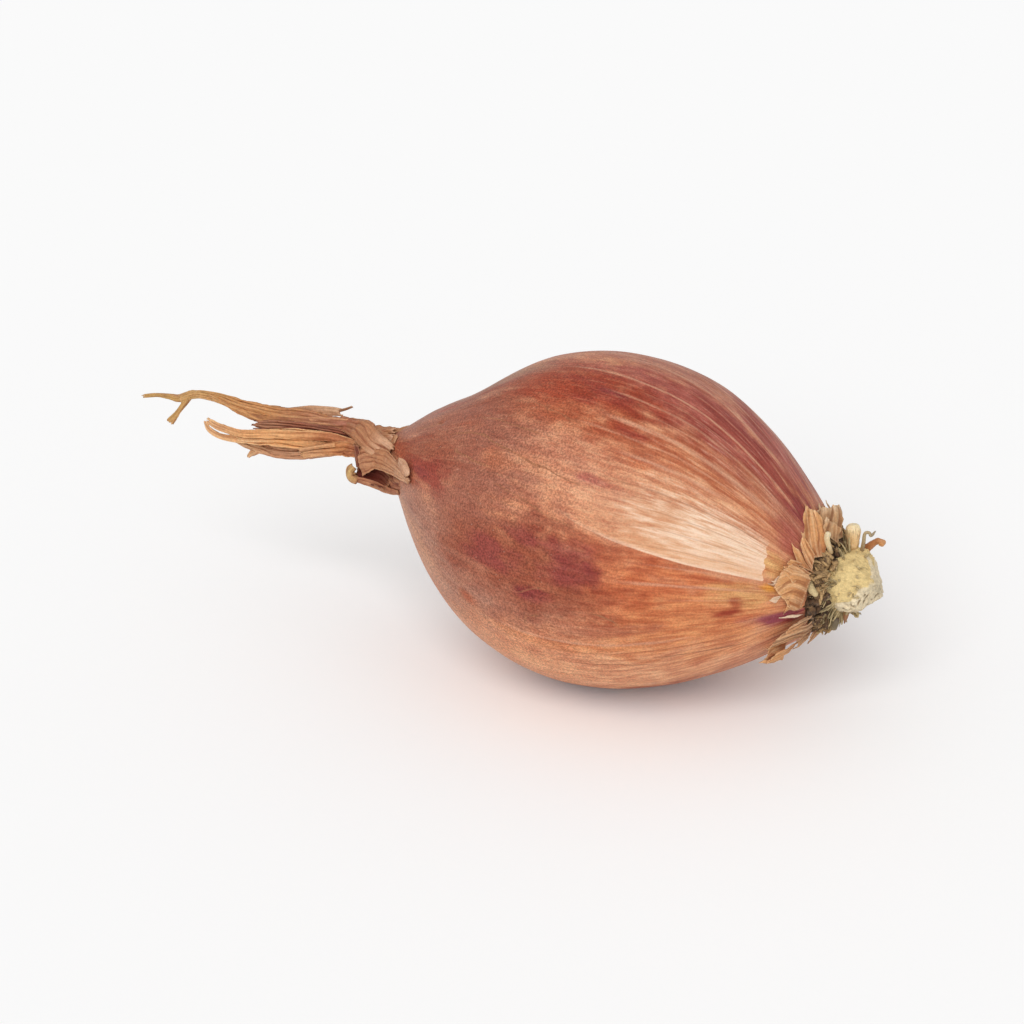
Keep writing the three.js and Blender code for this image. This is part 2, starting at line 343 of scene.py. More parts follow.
def new_material(name: str) -> tuple[bpy.types.Material, Sheet]:
    """A material with an empty node tree, and the sheet to build it on."""
    material = bpy.data.materials.new(name)
    material.use_nodes = True
    material.node_tree.nodes.clear()
    return material, Sheet(material.node_tree)


def close_material(sheet: Sheet, sockets: dict) -> None:
    """Ends a material with a Principled shader that has these inputs."""
    shader = sheet.node("ShaderNodeBsdfPrincipled", sockets)
    sheet.node("ShaderNodeOutputMaterial", {"Surface": shader.outputs[0]})


def new_effect(name: str, inputs: dict[str, str], outputs: Sequence[str]) -> tuple[Sheet, dict, dict]:
    """Starts a shared effect.

    Args:
        name: The group's name.
        inputs: Its inputs, each with Vector or Float for its kind.
        outputs: Its outputs, which are all numbers.

    Returns:
        The sheet to build on, the input sockets by name, and the output sockets by name.
    """
    tree = bpy.data.node_groups.new(name, "ShaderNodeTree")
    for label, kind in inputs.items():
        tree.interface.new_socket(name=label, in_out="INPUT", socket_type=f"NodeSocket{kind}")
    for label in outputs:
        tree.interface.new_socket(name=label, in_out="OUTPUT", socket_type="NodeSocketFloat")
    entry = tree.nodes.new("NodeGroupInput")
    leave = tree.nodes.new("NodeGroupOutput")
    given = {label: entry.outputs[label] for label in inputs}
    wanted = {label: leave.inputs[label] for label in outputs}
    return Sheet(tree), given, wanted


class Effects:
    """The effects that several finishes share, each built once as a node group."""

    def __init__(self) -> None:
        """Builds every shared effect."""
        self.fibres = self._fibres()
        self.mottle = self._mottle()
        self.stain = self._stain()

    @staticmethod
    def _fibres() -> bpy.types.NodeTree:
        """Streaks that run along a piece: broad bands, fine lines and single threads."""
        inputs = {"Place": "Vector", "Across": "Float", "Along": "Float"}
        sheet, given, wanted = new_effect("fibre streaks", inputs, ["Broad", "Fine", "Thread"])
        parts = {0: given["Across"], 1: given["Across"], 2: given["Along"]}
        factors = sheet.node("ShaderNodeCombineXYZ", parts).outputs[0]
        product = {0: given["Place"], 1: factors}
        stretched = sheet.node("ShaderNodeVectorMath", product, operation="MULTIPLY").outputs[0]
        broad = sheet.cloud(stretched, 1.0, 1.5)
        fine = sheet.cloud(sheet.stretched(stretched, (4.3, 4.3, 1.7)), 1.0, 3.0, 0.6)
        thread = sheet.cloud(sheet.stretched(stretched, (7.1, 7.1, 1.1)), 1.0, 1.0)
        ridge = sheet.math("ABSOLUTE", sheet.math("SUBTRACT", thread, 0.5))
        for label, value in (("Broad", broad), ("Fine", fine), ("Thread", sheet.fade(ridge, 0.035, 0.0))):
            sheet.tree.links.new(value, wanted[label])
        return sheet.tree

    @staticmethod
    def _mottle() -> bpy.types.NodeTree:
        """The small cells of plant skin, and the odd pale speck."""
        inputs = {"Place": "Vector", "Cell": "Float"}
        sheet, given, wanted = new_effect("mottle", inputs, ["Mottle", "Speck"])
        scaled = {0: given["Place"], "Scale": given["Cell"]}
        place = sheet.node("ShaderNodeVectorMath", scaled, operation="SCALE").outputs[0]
        speck = {"Vector": place, "Scale": 0.22}
        spots = sheet.node("ShaderNodeTexVoronoi", speck).outputs["Distance"]
        sheet.tree.links.new(sheet.cloud(place, 1.0, 3.0, 0.7), wanted["Mottle"])
        sheet.tree.links.new(sheet.fade(spots, 0.09, 0.04), wanted["Speck"])
        return sheet.tree

    @staticmethod
    def _stain() -> bpy.types.NodeTree:
        """Soft patches that cover a share of the surface."""
        inputs = {"Place": "Vector", "Size": "Float", "Cover": "Float"}
        sheet, given, wanted = new_effect("stain", inputs, ["Mask"])
        scaled = {0: given["Place"], "Scale": given["Size"]}
        place = sheet.node("ShaderNodeVectorMath", scaled, operation="SCALE").outputs[0]
        level = sheet.math("SUBTRACT", sheet.cloud(place, 1.0, 4.0, 0.62), 0.5)
        lifted = sheet.math("ADD", level, given["Cover"])
        sheet.tree.links.new(sheet.fade(lifted, 0.42, 0.58), wanted["Mask"])
        return sheet.tree


@dataclass(frozen=True)
class SkinFinish:
    """The bulb's satin skin: painted tones, veins, fibres, cracks and a grain of small cells, with painted light and
    shade along its fibres and a painted highlight along the pale window's lower edge.
    """

    name: str = "bulb skin"
    vein: Colour = (0.63, 0.32, 0.2)
    line: Colour = (0.34, 0.135, 0.065)
    window_pale: Colour = (0.9, 0.675, 0.51)
    window_deep: Colour = (0.8, 0.52, 0.33)
    window_peach: Colour = (0.66, 0.335, 0.18)
    window_honey: Colour = (0.74, 0.39, 0.2)
    speck: Colour = (0.78, 0.58, 0.45)

    def material(self, effects: Effects) -> bpy.types.Material:
        """Builds the skin's material.

        Args:
            effects: The shared effects.

        Returns:
            The material.
        """
        material, sheet = new_material(self.name)
        place = sheet.attribute("place")
        paint = sheet.attribute("paint", "Color")
        bands = sheet.effect(effects.fibres, Place=place, Across=8.0, Along=0.16)
        hairs = sheet.effect(effects.fibres, Place=place, Across=17.0, Along=0.28)
        cells = sheet.effect(effects.mottle, Place=sheet.place(), Cell=3900.0)

        along = sheet.node("ShaderNodeSeparateXYZ", {0: place}).outputs[2]
        rootward = sheet.fade(along, -12.0, 12.0)
        coarse = sheet.fade(along, 18.0, -10.0, (0.15, 0.44))
        # Lit and shaded copies of the paint, mixed by the same noise that raises the fibre bump: painted light on the
        # ridges and painted shade in the grooves, stronger rootward.
        shaded = sheet.mix(rootward, (0.95, 0.88, 0.86), (0.82, 0.68, 0.65))
        lit = sheet.mix(rootward, (1.02, 1.02, 1.02), (1.1, 1.15, 1.15))
        deep = sheet.mix(1.0, paint, shaded, "MULTIPLY")
        light = sheet.mix(1.0, paint, lit, "MULTIPLY")
        skin = sheet.mix(sheet.fade(bands.outputs["Fine"], 0.36, 0.64), deep, light)
        window = self._window(sheet, bands, hairs)
        skin = sheet.mix(window[0], skin, window[1])
        # A darker copy of the skin: painted shade in the fine grooves of the hair bump, and the dark single threads.
        darker = sheet.mix(1.0, skin, (0.86, 0.74, 0.68), "MULTIPLY")
        skin = sheet.mix(sheet.fade(hairs.outputs["Fine"], 0.5, 0.3, (0.0, 0.5)), skin, darker)
        skin = sheet.mix(sheet.math("MULTIPLY", bands.outputs["Thread"], 0.5), skin, darker)
        veins = self._veins(sheet, hairs)
        skin = sheet.mix(veins[0], skin, self.vein)
        skin = sheet.mix(veins[1], skin, self.line)
        skin = sheet.mix(self._cracks(sheet, hairs), skin, self.line)
        grain = sheet.math("MULTIPLY", sheet.fade(cells.outputs["Mottle"], 0.3, 0.7, (-1.0, 1.0)), coarse)
        tint = sheet.math("ADD", grain, 1.0)
        grey = sheet.node("ShaderNodeCombineColor", {0: tint, 1: tint, 2: tint}).outputs[0]
        skin = sheet.mix(sheet.fade(window[0], 0.0, 1.0, (1.0, 0.35)), skin, grey, "MULTIPLY")
        dotted = sheet.fade(along, 8.0, -14.0, (0.06, 0.3))
        skin = sheet.mix(sheet.math("MULTIPLY", cells.outputs["Speck"], dotted), skin, self.speck)

        relief = sheet.math("ADD", bands.outputs["Fine"], sheet.math("MULTIPLY", veins[0], 0.8))
        normal = sheet.bump(relief, 0.08, 0.5)
        normal = sheet.bump(hairs.outputs["Fine"], 0.03, 0.5, normal)
        normal = sheet.bump(cells.outputs["Mottle"], 0.02, 0.5, normal)
        gloss = sheet.fade(bands.outputs["Broad"], 0.2, 0.8, (0.4, 0.54))
        close_material(
            sheet,
            {
                "Base Color": skin,
                "Roughness": gloss,
                "Normal": normal,
                "Specular IOR Level": 0.2,
                "Subsurface Weight": 0.05,
                "Subsurface Radius": (0.0015, 0.0005, 0.0003),
            },
        )
        return material

    def _window(self, sheet: Sheet, bands: bpy.types.Node, hairs: bpy.types.Node) -> tuple[object, object]:
        """The pale window in the outer skin: how much of it shows, and its colour, with a painted highlight along its
        lower edge.
        """
        edges = sheet.node("ShaderNodeSeparateXYZ", {0: sheet.attribute("window")})
        along = sheet.node("ShaderNodeSeparateXYZ", {0: sheet.attribute("place")}).outputs[2]
        lower = sheet.fade(edges.outputs[0], -0.05, 0.12)
        rough = sheet.math("ADD", bands.outputs["Fine"], hairs.outputs["Fine"])
        cover = sheet.math("ADD", edges.outputs[1], sheet.fade(rough, 0.6, 1.4, (-0.3, 0.3)))
        cut = sheet.fade(edges.outputs[2], 0.0, 0.1)
        shown = sheet.math("MULTIPLY", sheet.math("MULTIPLY", lower, sheet.fade(cover, 0.0, 1.0)), cut)
        streak = sheet.fade(rough, 0.7, 1.3)
        cream = sheet.mix(streak, self.window_deep, self.window_pale)
        wander = sheet.fade(bands.outputs["Fine"], 0.2, 0.8, (-6.0, 6.0))
        base = sheet.mix(sheet.fade(sheet.math("ADD", along, wander), 6.0, 20.0), self.window_peach, cream)
        base = sheet.mix(sheet.fade(edges.outputs[0], 3.0, 0.6, (0.0, 0.55)), base, self.window_honey)
        # A painted highlight along the window's lower edge, kept even where the window itself fades.
        rim = sheet.math("MULTIPLY", sheet.fade(edges.outputs[0], 0.7, 0.1), sheet.fade(along, -4.0, 9.0, (0.0, 0.6)))
        edge = sheet.math("MULTIPLY", sheet.math("MULTIPLY", rim, lower), cut)
        return sheet.math("MAXIMUM", shown, edge), sheet.mix(rim, base, self.window_pale)

    def _veins(self, sheet: Sheet, hairs: bpy.types.Node) -> tuple[object, object]:
        """Where the numbered pale veins and dark lines show, each from 0 to 1."""
        number = sheet.node("ShaderNodeSeparateXYZ", {0: sheet.node("ShaderNodeUVMap", uv_map="veins").outputs[0]})
        form = sheet.node("ShaderNodeSeparateXYZ", {0: sheet.attribute("vein_form")})
        wander = sheet.math("MULTIPLY", sheet.math("SUBTRACT", hairs.outputs["Broad"], 0.5), 0.14)
        turned = sheet.math("ADD", number.outputs[0], wander)
        off = sheet.math("SUBTRACT", turned, sheet.math("ROUND", turned))
        distance = sheet.math("MULTIPLY", sheet.math("ABSOLUTE", off), form.outputs[2])
        line = sheet.fade(sheet.math("DIVIDE", distance, form.outputs[1]), 1.6, 0.0)
        broken = sheet.math("MULTIPLY", line, sheet.fade(hairs.outputs["Fine"], 0.3, 0.55, (0.4, 0.8)))
        pale = sheet.math("MULTIPLY", broken, form.outputs[0], clamp=True)
        dark = sheet.math("MULTIPLY", broken, sheet.math("MULTIPLY", form.outputs[0], -1.0), clamp=True)
        return pale, dark

    def _cracks(self, sheet: Sheet, hairs: bpy.types.Node) -> object:
        """Where the fine cracks that cross the veins show, from 0 to 1."""
        crack = sheet.node("ShaderNodeSeparateXYZ", {0: sheet.attribute("crack")})
        wander = sheet.math("MULTIPLY", sheet.math("SUBTRACT", hairs.outputs["Broad"], 0.5), 1.1)
        distance = sheet.math("ABSOLUTE", sheet.math("ADD", crack.outputs[0], wander))
        shown = sheet.math("MULTIPLY", sheet.fade(distance, 0.2, 0.04), crack.outputs[1])
        return sheet.math("MULTIPLY", shown, 1.7, clamp=True)


@dataclass(frozen=True)
class PaperFinish:
    """Dry leaf or torn skin: streaks along the fibres, painted shade in its creases, stains and worn edges.

    Attributes:
        name: The material's name.
        body: The main colour.
        pale: The colour of its raised and rubbed fibres.
        deep: The colour of its stains and fine streaks, and of the painted shade down in its creases.
        near: The colour at its foot.
        far: The colour at its tip.
        fibres: How many streaks lie across a millimetre.
        stained: The share of it that is stained.
        rough: How matt it is.
    """

    name: str
    body: Colour
    pale: Colour
    deep: Colour
    near: Colour | None = None
    far: Colour | None = None
    fibres: float = 1.6
    stained: float = 0.4
    rough: float = 0.6

    def material(self, effects: Effects) -> bpy.types.Material:
        """Builds the paper's material.

        Args:
            effects: The shared effects.

        Returns:
            The material.
        """
        material, sheet = new_material(self.name)
        place = sheet.attribute("place")
        streaks = sheet.effect(effects.fibres, Place=place, Across=self.fibres, Along=0.12)
        cells = sheet.effect(effects.mottle, Place=sheet.place(), Cell=2900.0)
        patches = sheet.effect(effects.stain, Place=sheet.place(), Size=520.0, Cover=self.stained)
        crease_shade = sheet.attribute("crease_shade", "Fac")
        rim = sheet.attribute("rim", "Fac")
        wander = sheet.fade(patches.outputs["Mask"], 0.0, 1.0, (-0.08, 0.08))
        rise = sheet.math("ADD", sheet.attribute("rise", "Fac"), wander)

        paper = sheet.mix(sheet.fade(rise, 0.05, 0.45), self.near or self.body, self.body)
        paper = sheet.mix(sheet.fade(rise, 0.5, 0.85), paper, self.far or self.body)
        paper = sheet.mix(sheet.fade(streaks.outputs["Broad"], 0.4, 0.75, (0.0, 0.7)), paper, self.pale)
        paper = sheet.mix(sheet.math("MULTIPLY", patches.outputs["Mask"], 0.2), paper, self.deep)
        paper = sheet.mix(sheet.fade(streaks.outputs["Fine"], 0.52, 0.3, (0.0, 0.55)), paper, self.deep)
        # Painted shade: down in the creases, and on strips that lie in shade.
        paper = sheet.mix(sheet.fade(crease_shade, 0.4, 0.85, (0.0, 0.9)), paper, self.deep)
        worn = sheet.math("MULTIPLY", sheet.fade(rim, 0.82, 1.0), sheet.fade(streaks.outputs["Fine"], 0.35, 0.6))
        paper = sheet.mix(sheet.math("MULTIPLY", worn, 0.65), paper, self.pale)
        tint = sheet.fade(cells.outputs["Mottle"], 0.28, 0.72, (0.84, 1.13))
        grey = sheet.node("ShaderNodeCombineColor", {0: tint, 1: tint, 2: tint}).outputs[0]
        paper = sheet.mix(1.0, paper, grey, "MULTIPLY")

        normal = sheet.bump(streaks.outputs["Fine"], 0.1, 0.7)
        normal = sheet.bump(cells.outputs["Mottle"], 0.04, 0.5, normal)
        close_material(
            sheet,
            {
                "Base Color": paper,
                "Roughness": self.rough,
                "Normal": normal,
                "Specular IOR Level": 0.3,
                "Subsurface Weight": 0.08,
                "Subsurface Radius": (0.0012, 0.0005, 0.0003),
            },
        )
        return material


@dataclass(frozen=True)
class StumpFinish:
    """The stem plate: pale corky fibre that runs out from its middle, with painted shade in its pits and sunken places.
    """

    name: str = "root plate"
    yellow: Colour = (0.84, 0.63, 0.29)
    cream: Colour = (0.87, 0.73, 0.5)
    fibre: Colour = (0.46, 0.3, 0.13)
    # The colour of the painted shade in its pits and sunken places.
    pit: Colour = (0.22, 0.135, 0.06)

    def material(self, effects: Effects) -> bpy.types.Material:
        """Builds the plate's material.

        Args:
            effects: The shared effects.

        Returns:
            The material.
        """
        material, sheet = new_material(self.name)
        place = sheet.attribute("place")
        streaks = sheet.effect(effects.fibres, Place=place, Across=9.0, Along=1.4)
        cells = sheet.effect(effects.mottle, Place=sheet.place(), Cell=2600.0)
        patches = sheet.effect(effects.stain, Place=sheet.place(), Size=650.0, Cover=0.42)
        upper = sheet.attribute("upper", "Fac")
        sunk_shade = sheet.attribute("crease_shade", "Fac")

        cork = sheet.mix(sheet.fade(upper, 0.35, 0.65), self.cream, self.yellow)
        cork = sheet.mix(sheet.fade(streaks.outputs["Fine"], 0.5, 0.3, (0.0, 0.45)), cork, self.fibre)
        cork = sheet.mix(sheet.math("MULTIPLY", patches.outputs["Mask"], 0.2), cork, self.fibre)
        # Painted shade in the pits and sunken places.
        cork = sheet.mix(sheet.fade(sunk_shade, 0.45, 1.0, (0.0, 0.85)), cork, self.pit)
        tint = sheet.fade(cells.outputs["Mottle"], 0.25, 0.75, (0.74, 1.14))
        grey = sheet.node("ShaderNodeCombineColor", {0: tint, 1: tint, 2: tint}).outputs[0]
        cork = sheet.mix(1.0, cork, grey, "MULTIPLY")
        normal = sheet.bump(streaks.outputs["Fine"], 0.15, 0.9)
        normal = sheet.bump(cells.outputs["Mottle"], 0.05, 0.7, normal)
        close_material(sheet, {"Base Color": cork, "Roughness": 0.85, "Normal": normal})
        return material


@dataclass(frozen=True)
class SoilFinish:
    """Dry soil: dark crumbs with grey dust, and straw-coloured fibre where it has worn off."""

    name: str = "soil"
    dark: Colour = (0.045, 0.025, 0.014)
    brown: Colour = (0.125, 0.062, 0.028)
    dust: Colour = (0.3, 0.21, 0.14)
    straw: Colour = (0.52, 0.33, 0.15)

    def material(self, effects: Effects) -> bpy.types.Material:
        """Builds the soil's material.

        Args:
            effects: The shared effects.

        Returns:
            The material.
        """
        material, sheet = new_material(self.name)
        cells = sheet.effect(effects.mottle, Place=sheet.place(), Cell=2300.0)
        patches = sheet.effect(effects.stain, Place=sheet.place(), Size=600.0, Cover=0.42)
        soil = sheet.mix(sheet.fade(cells.outputs["Mottle"], 0.35, 0.6), self.dark, self.brown)
        soil = sheet.mix(sheet.math("MULTIPLY", patches.outputs["Mask"], 0.6), soil, self.dust)
        straw = sheet.mix(sheet.fade(cells.outputs["Mottle"], 0.32, 0.5), self.brown, self.straw)
        soil = sheet.mix(sheet.attribute("straw", "Fac"), soil, straw)
        normal = sheet.bump(cells.outputs["Mottle"], 0.15, 1.0)
        close_material(sheet, {"Base Color": soil, "Roughness": 0.95, "Normal": normal})
        return material


@dataclass(frozen=True)
class RootFinish:
    """A dried root: paler on its skin, darker towards its foot, streaked along its length."""

    name: str
    body: Colour
    tip: Colour
    foot: Colour
    rough: float = 0.5

    def material(self, effects: Effects) -> bpy.types.Material:
        """Builds the root's material.

        Args:
            effects: The shared effects.

        Returns:
            The material.
        """
        material, sheet = new_material(self.name)
        place = sheet.attribute("place")
        streaks = sheet.effect(effects.fibres, Place=place, Across=1.6, Along=0.6)
        cells = sheet.effect(effects.mottle, Place=sheet.place(), Cell=3000.0)
        rise = sheet.attribute("rise", "Fac")
        root = sheet.mix(sheet.fade(rise, 0.55, 1.0), self.body, self.tip)
        root = sheet.mix(sheet.fade(rise, 0.35, 0.0), root, self.foot)
        root = sheet.mix(sheet.fade(streaks.outputs["Fine"], 0.5, 0.3, (0.0, 0.6)), root, self.foot)
        tint = sheet.fade(cells.outputs["Mottle"], 0.25, 0.75, (0.86, 1.12))
        grey = sheet.node("ShaderNodeCombineColor", {0: tint, 1: tint, 2: tint}).outputs[0]
        root = sheet.mix(1.0, root, grey, "MULTIPLY")
        normal = sheet.bump(streaks.outputs["Fine"], 0.06, 0.7)
        close_material(
            sheet,
            {
                "Base Color": root,
                "Roughness": self.rough,
                "Normal": normal,
                "Subsurface Weight": 0.2,
                "Subsurface Radius": (0.001, 0.0006, 0.0003),
            },
        )
        return material


# ---- The bulb ----


@dataclass(frozen=True)
class Dab:
    """One soft touch of colour on the skin.

    Attributes:
        tone: Its colour.
        along: Its middle, in millimetres from the widest place towards the root.
        turn: Its middle, in degrees round from the top towards the front.
        length: How far it reaches along, in millimetres.
        spread: How far it reaches round, in degrees.
        strength: How much it covers what lies under it.
    """

    tone: Tone
    along: float
    turn: float
    length: float
    spread: float
    strength: float


@dataclass(frozen=True)
class Vein:
    """A vein that stands out, by its turn, where it runs, its half width and its strength."""

    turn: float
    start: float
    end: float
    width: float
    strength: float


@dataclass(frozen=True)
class Crack:
    """A fine crack in the skin, through points of distance along and turn."""

    points: tuple[tuple[float, float], ...]
    strength: float


SKIN_DABS = (
    # The broad washes: the crown, the shoulder of the neck, the middle and the root end.
    Dab(Tone.ROSE, 2, -20, 32, 20, 1.0),
    Dab(Tone.DUSK, -23, 18, 16, 34, 1.0),
    Dab(Tone.UMBER, -24, 26, 13, 30, 0.6),
    Dab(Tone.PLUM, 15, 6, 17, 19, 1.0),
    Dab(Tone.PLUM, 20, -20, 8, 13, 1.0),
    Dab(Tone.COPPER, 15, 35, 15, 9, 0.85),
    Dab(Tone.ROSE, -6, 48, 13, 18, 0.8),
    Dab(Tone.CHESTNUT, -10, 12, 12, 15, 0.9),
    Dab(Tone.CHESTNUT, -13, 33, 10, 14, 0.95),
    Dab(Tone.BRICK, -1, 19, 12, 12, 1.0),
    Dab(Tone.RUST, 0, 32, 12, 7, 0.95),
    Dab(Tone.UMBER, -13, 55, 11, 25, 1.0),
    Dab(Tone.CHESTNUT, -23, 54, 9, 17, 0.95),
    # The dark belt on the front, the warm skin rootward of it and the tan underside.
    Dab(Tone.SAND, 8, 132, 26, 19, 1.0),
    Dab(Tone.GINGER, 18, 102, 14, 20, 0.95),
    Dab(Tone.EMBER, 10, 86, 13, 16, 1.0),
    Dab(Tone.GINGER, 20, 92, 7, 10, 0.7),
    Dab(Tone.DUSK, -20, 98, 13, 26, 1.0),
    Dab(Tone.UMBER, -6, 99, 14, 11, 0.85),
    Dab(Tone.CHESTNUT, -7, 84, 16, 17, 1.0),
    Dab(Tone.UMBER, -15, 72, 9, 8, 0.85),
    Dab(Tone.RUST, 4, 72, 6, 4, 0.7),
    Dab(Tone.DUSK, -21, 84, 6, 7, 0.5),
    # Deeper and lighter patches over the crown.
    Dab(Tone.OLIVE, -14, 4, 7, 9, 0.5),
    Dab(Tone.PLUM, -3, 3, 6, 5, 0.5),
    Dab(Tone.ROSE, 4, -9, 9, 5, 0.8),
    Dab(Tone.MAROON, 3, 19, 5, 3.5, 0.7),
    Dab(Tone.WINE, 3, 17.5, 2.2, 1.3, 0.7),
    Dab(Tone.BRICK, -6, 23, 5, 5, 0.7),
    Dab(Tone.MAROON, -3, 14, 4, 2.2, 0.5),
    Dab(Tone.MAROON, -1, 24, 2.5, 1.6, 0.6),
    Dab(Tone.BRICK, 6, 30, 4.5, 3, 0.8),
    Dab(Tone.MAROON, 7, 31, 2.2, 1.6, 0.7),
    Dab(Tone.MAROON, 17, -1, 5, 5, 0.7),
    Dab(Tone.WINE, 18, -3, 3.5, 2, 0.5),
    Dab(Tone.MAROON, 24.5, 0, 5, 8, 0.65),
    Dab(Tone.WINE, 27, 2, 2.5, 12, 0.8),
    Dab(Tone.VIOLET, 26.5, 22, 3, 12, 0.4),
    Dab(Tone.MAROON, 11, 12, 5, 2, 0.4),
    Dab(Tone.MAROON, 12, 20, 5, 3, 0.45),
    Dab(Tone.WINE, 16.5, 24.5, 2.4, 1.6, 0.5),
    Dab(Tone.MAROON, 19, -17, 4, 3, 0.7),
    Dab(Tone.BRICK, 20, 8, 4, 2, 0.5),
    Dab(Tone.ROSE, 23, 19, 5, 6, 0.75),
    Dab(Tone.ROSE, 13, -17, 4, 5, 0.7),
    Dab(Tone.COPPER, 10, 26.5, 7, 1.6, 0.6),
    Dab(Tone.PEACH, 16, 40, 8, 4, 0.65),
    Dab(Tone.SAND, 14, 46, 5, 3, 0.6),
    Dab(Tone.ROSE, 20, 29, 5, 2.5, 0.6),
    Dab(Tone.PLUM, 26.5, 34, 2, 14, 0.85),
    Dab(Tone.EMBER, 8.5, 41, 1.8, 1.8, 0.8),
    Dab(Tone.RUST, 6.5, 39.5, 4, 3, 0.75),
    Dab(Tone.BRICK, 16, 24, 4.5, 3.5, 0.6),
    Dab(Tone.MAROON, 16, 17, 3, 3, 0.5),
    Dab(Tone.MAROON, 21, 12, 4, 6, 0.5),
    Dab(Tone.MAROON, 0, 8, 4, 3, 0.35),
    Dab(Tone.PEACH, -3, 43, 5, 2, 0.2),
    Dab(Tone.PEACH, -4.5, 52, 5, 4, 0.6),
    Dab(Tone.PEACH, 0, 56, 4, 6, 0.55),
    Dab(Tone.COPPER, -10, 54, 3.5, 5, 0.5),
    # The pale middle, with its blots.
    Dab(Tone.PEACH, 4, 57, 9, 7, 0.35),
    Dab(Tone.PEACH, 9, 48, 6, 4, 0.5),
    Dab(Tone.PLUM, 4.4, 51.6, 3.2, 1.8, 0.85),
    Dab(Tone.ROSE, 8, 53, 3, 2, 0.5),
    Dab(Tone.UMBER, -5, 57.5, 3.2, 2, 0.7),
    Dab(Tone.EMBER, 11.5, 60, 2, 2.4, 0.5),
    Dab(Tone.UMBER, 7.4, 62.5, 0.7, 1.0, 0.8),
    Dab(Tone.UMBER, -6, 64, 6, 4, 0.5),
    Dab(Tone.CHESTNUT, -1, 69.5, 5, 3.4, 0.8),
    # The belt's own patches.
    Dab(Tone.GARNET, -8.5, 83.5, 4, 4.5, 0.8),
    Dab(Tone.GARNET, -9, 88.5, 4.5, 3, 0.75),
    Dab(Tone.GARNET, 2, 76, 6, 4, 0.8),
    Dab(Tone.GARNET, 4, 83.5, 5, 5, 0.8),
    Dab(Tone.WINE, 3.5, 80.5, 3, 2.2, 0.6),
    Dab(Tone.GARNET, -4, 76, 4, 2, 0.4),
    Dab(Tone.GARNET, -3, 94.5, 2.8, 2.2, 0.75),
    Dab(Tone.WINE, -3.4, 94.5, 1.4, 1.3, 0.8),
    Dab(Tone.WINE, -1.6, 92.5, 1.5, 0.9, 0.7),
    Dab(Tone.CHESTNUT, 5.5, 91, 4, 4.5, 0.6),
    Dab(Tone.MAROON, 7, 97, 2.4, 1.4, 0.25),
    Dab(Tone.RUST, 8, 76, 2.8, 5, 0.8),
    Dab(Tone.RUST, 8, 89, 3, 7, 0.5),
    Dab(Tone.GARNET, 1, 86, 3, 2.5, 0.5),
    Dab(Tone.BRICK, 11, 79, 2, 2, 0.3),
    Dab(Tone.GINGER, 12, 97, 4, 4, 0.4),
    Dab(Tone.RUST, 4, 102, 4, 3, 0.45),
    Dab(Tone.DUSK, -10, 103, 4, 4, 0.45),
    Dab(Tone.ROSE, -6, 69, 5, 2, 0.4),
    Dab(Tone.ROSE, -11, 92, 3, 2, 0.4),
    Dab(Tone.EMBER, 17.5, 79.5, 5, 2.6, 0.9),
    Dab(Tone.BRICK, 18, 79, 2.4, 1.1, 0.3),
    Dab(Tone.HONEY, 22.5, 86, 4, 9, 0.8),
    # The neck's shoulder.
    Dab(Tone.PLUM, -22, 16, 3, 4, 0.5),
    Dab(Tone.ROSE, -22, 28, 5, 2, 0.5),
    Dab(Tone.MAROON, -21.5, 66, 5.5, 9.5, 0.85),
    Dab(Tone.WINE, -23, 67, 2.5, 3, 0.6),
    Dab(Tone.RUST, -17, 39, 3, 2, 0.5),
    Dab(Tone.BRICK, -28, 58, 3, 12, 0.5),
    Dab(Tone.ROSE, -26.5, 82, 3, 8, 0.5),
    # A pale touch low on the neck's shoulder: painted reflection of the pale surroundings at the bulb's edge.
    Dab(Tone.SAND, -23, 108, 7, 13, 0.4),
    Dab(Tone.CHESTNUT, -24.5, 73, 2.5, 5, 0.8),
    # The warm and purple touches where the skin ends at the root.
    Dab(Tone.HONEY, 25.4, 62, 1.6, 13, 0.95),
    Dab(Tone.AMBER, 25, 80, 1.2, 3.5, 0.95),
    Dab(Tone.BRICK, 20.6, 98, 2.0, 3.0, 1.0),
    Dab(Tone.BRICK, 21.8, 92, 1.0, 5, 0.8),
    Dab(Tone.HONEY, 23.8, 89, 1.6, 10, 0.75),
    Dab(Tone.EMBER, 22.5, 103, 3, 3, 0.8),
    Dab(Tone.VIOLET, 24.6, 107, 2.6, 5, 0.9),
    Dab(Tone.VIOLET, 26.6, 112, 2.6, 8, 1.0),
    Dab(Tone.WINE, 27.6, 116, 1.6, 7, 0.95),
    Dab(Tone.RUST, 24, 134, 2, 5, 0.6),
    # Small marks lower down.
    Dab(Tone.RUST, -12.5, 107.5, 1.6, 2.6, 0.8),
    Dab(Tone.GINGER, 2, 113, 12, 3, 0.5),
    Dab(Tone.ROSE, 6, 104, 7, 3, 0.4),
    Dab(Tone.GINGER, 20, 124, 8, 8, 0.5),
)

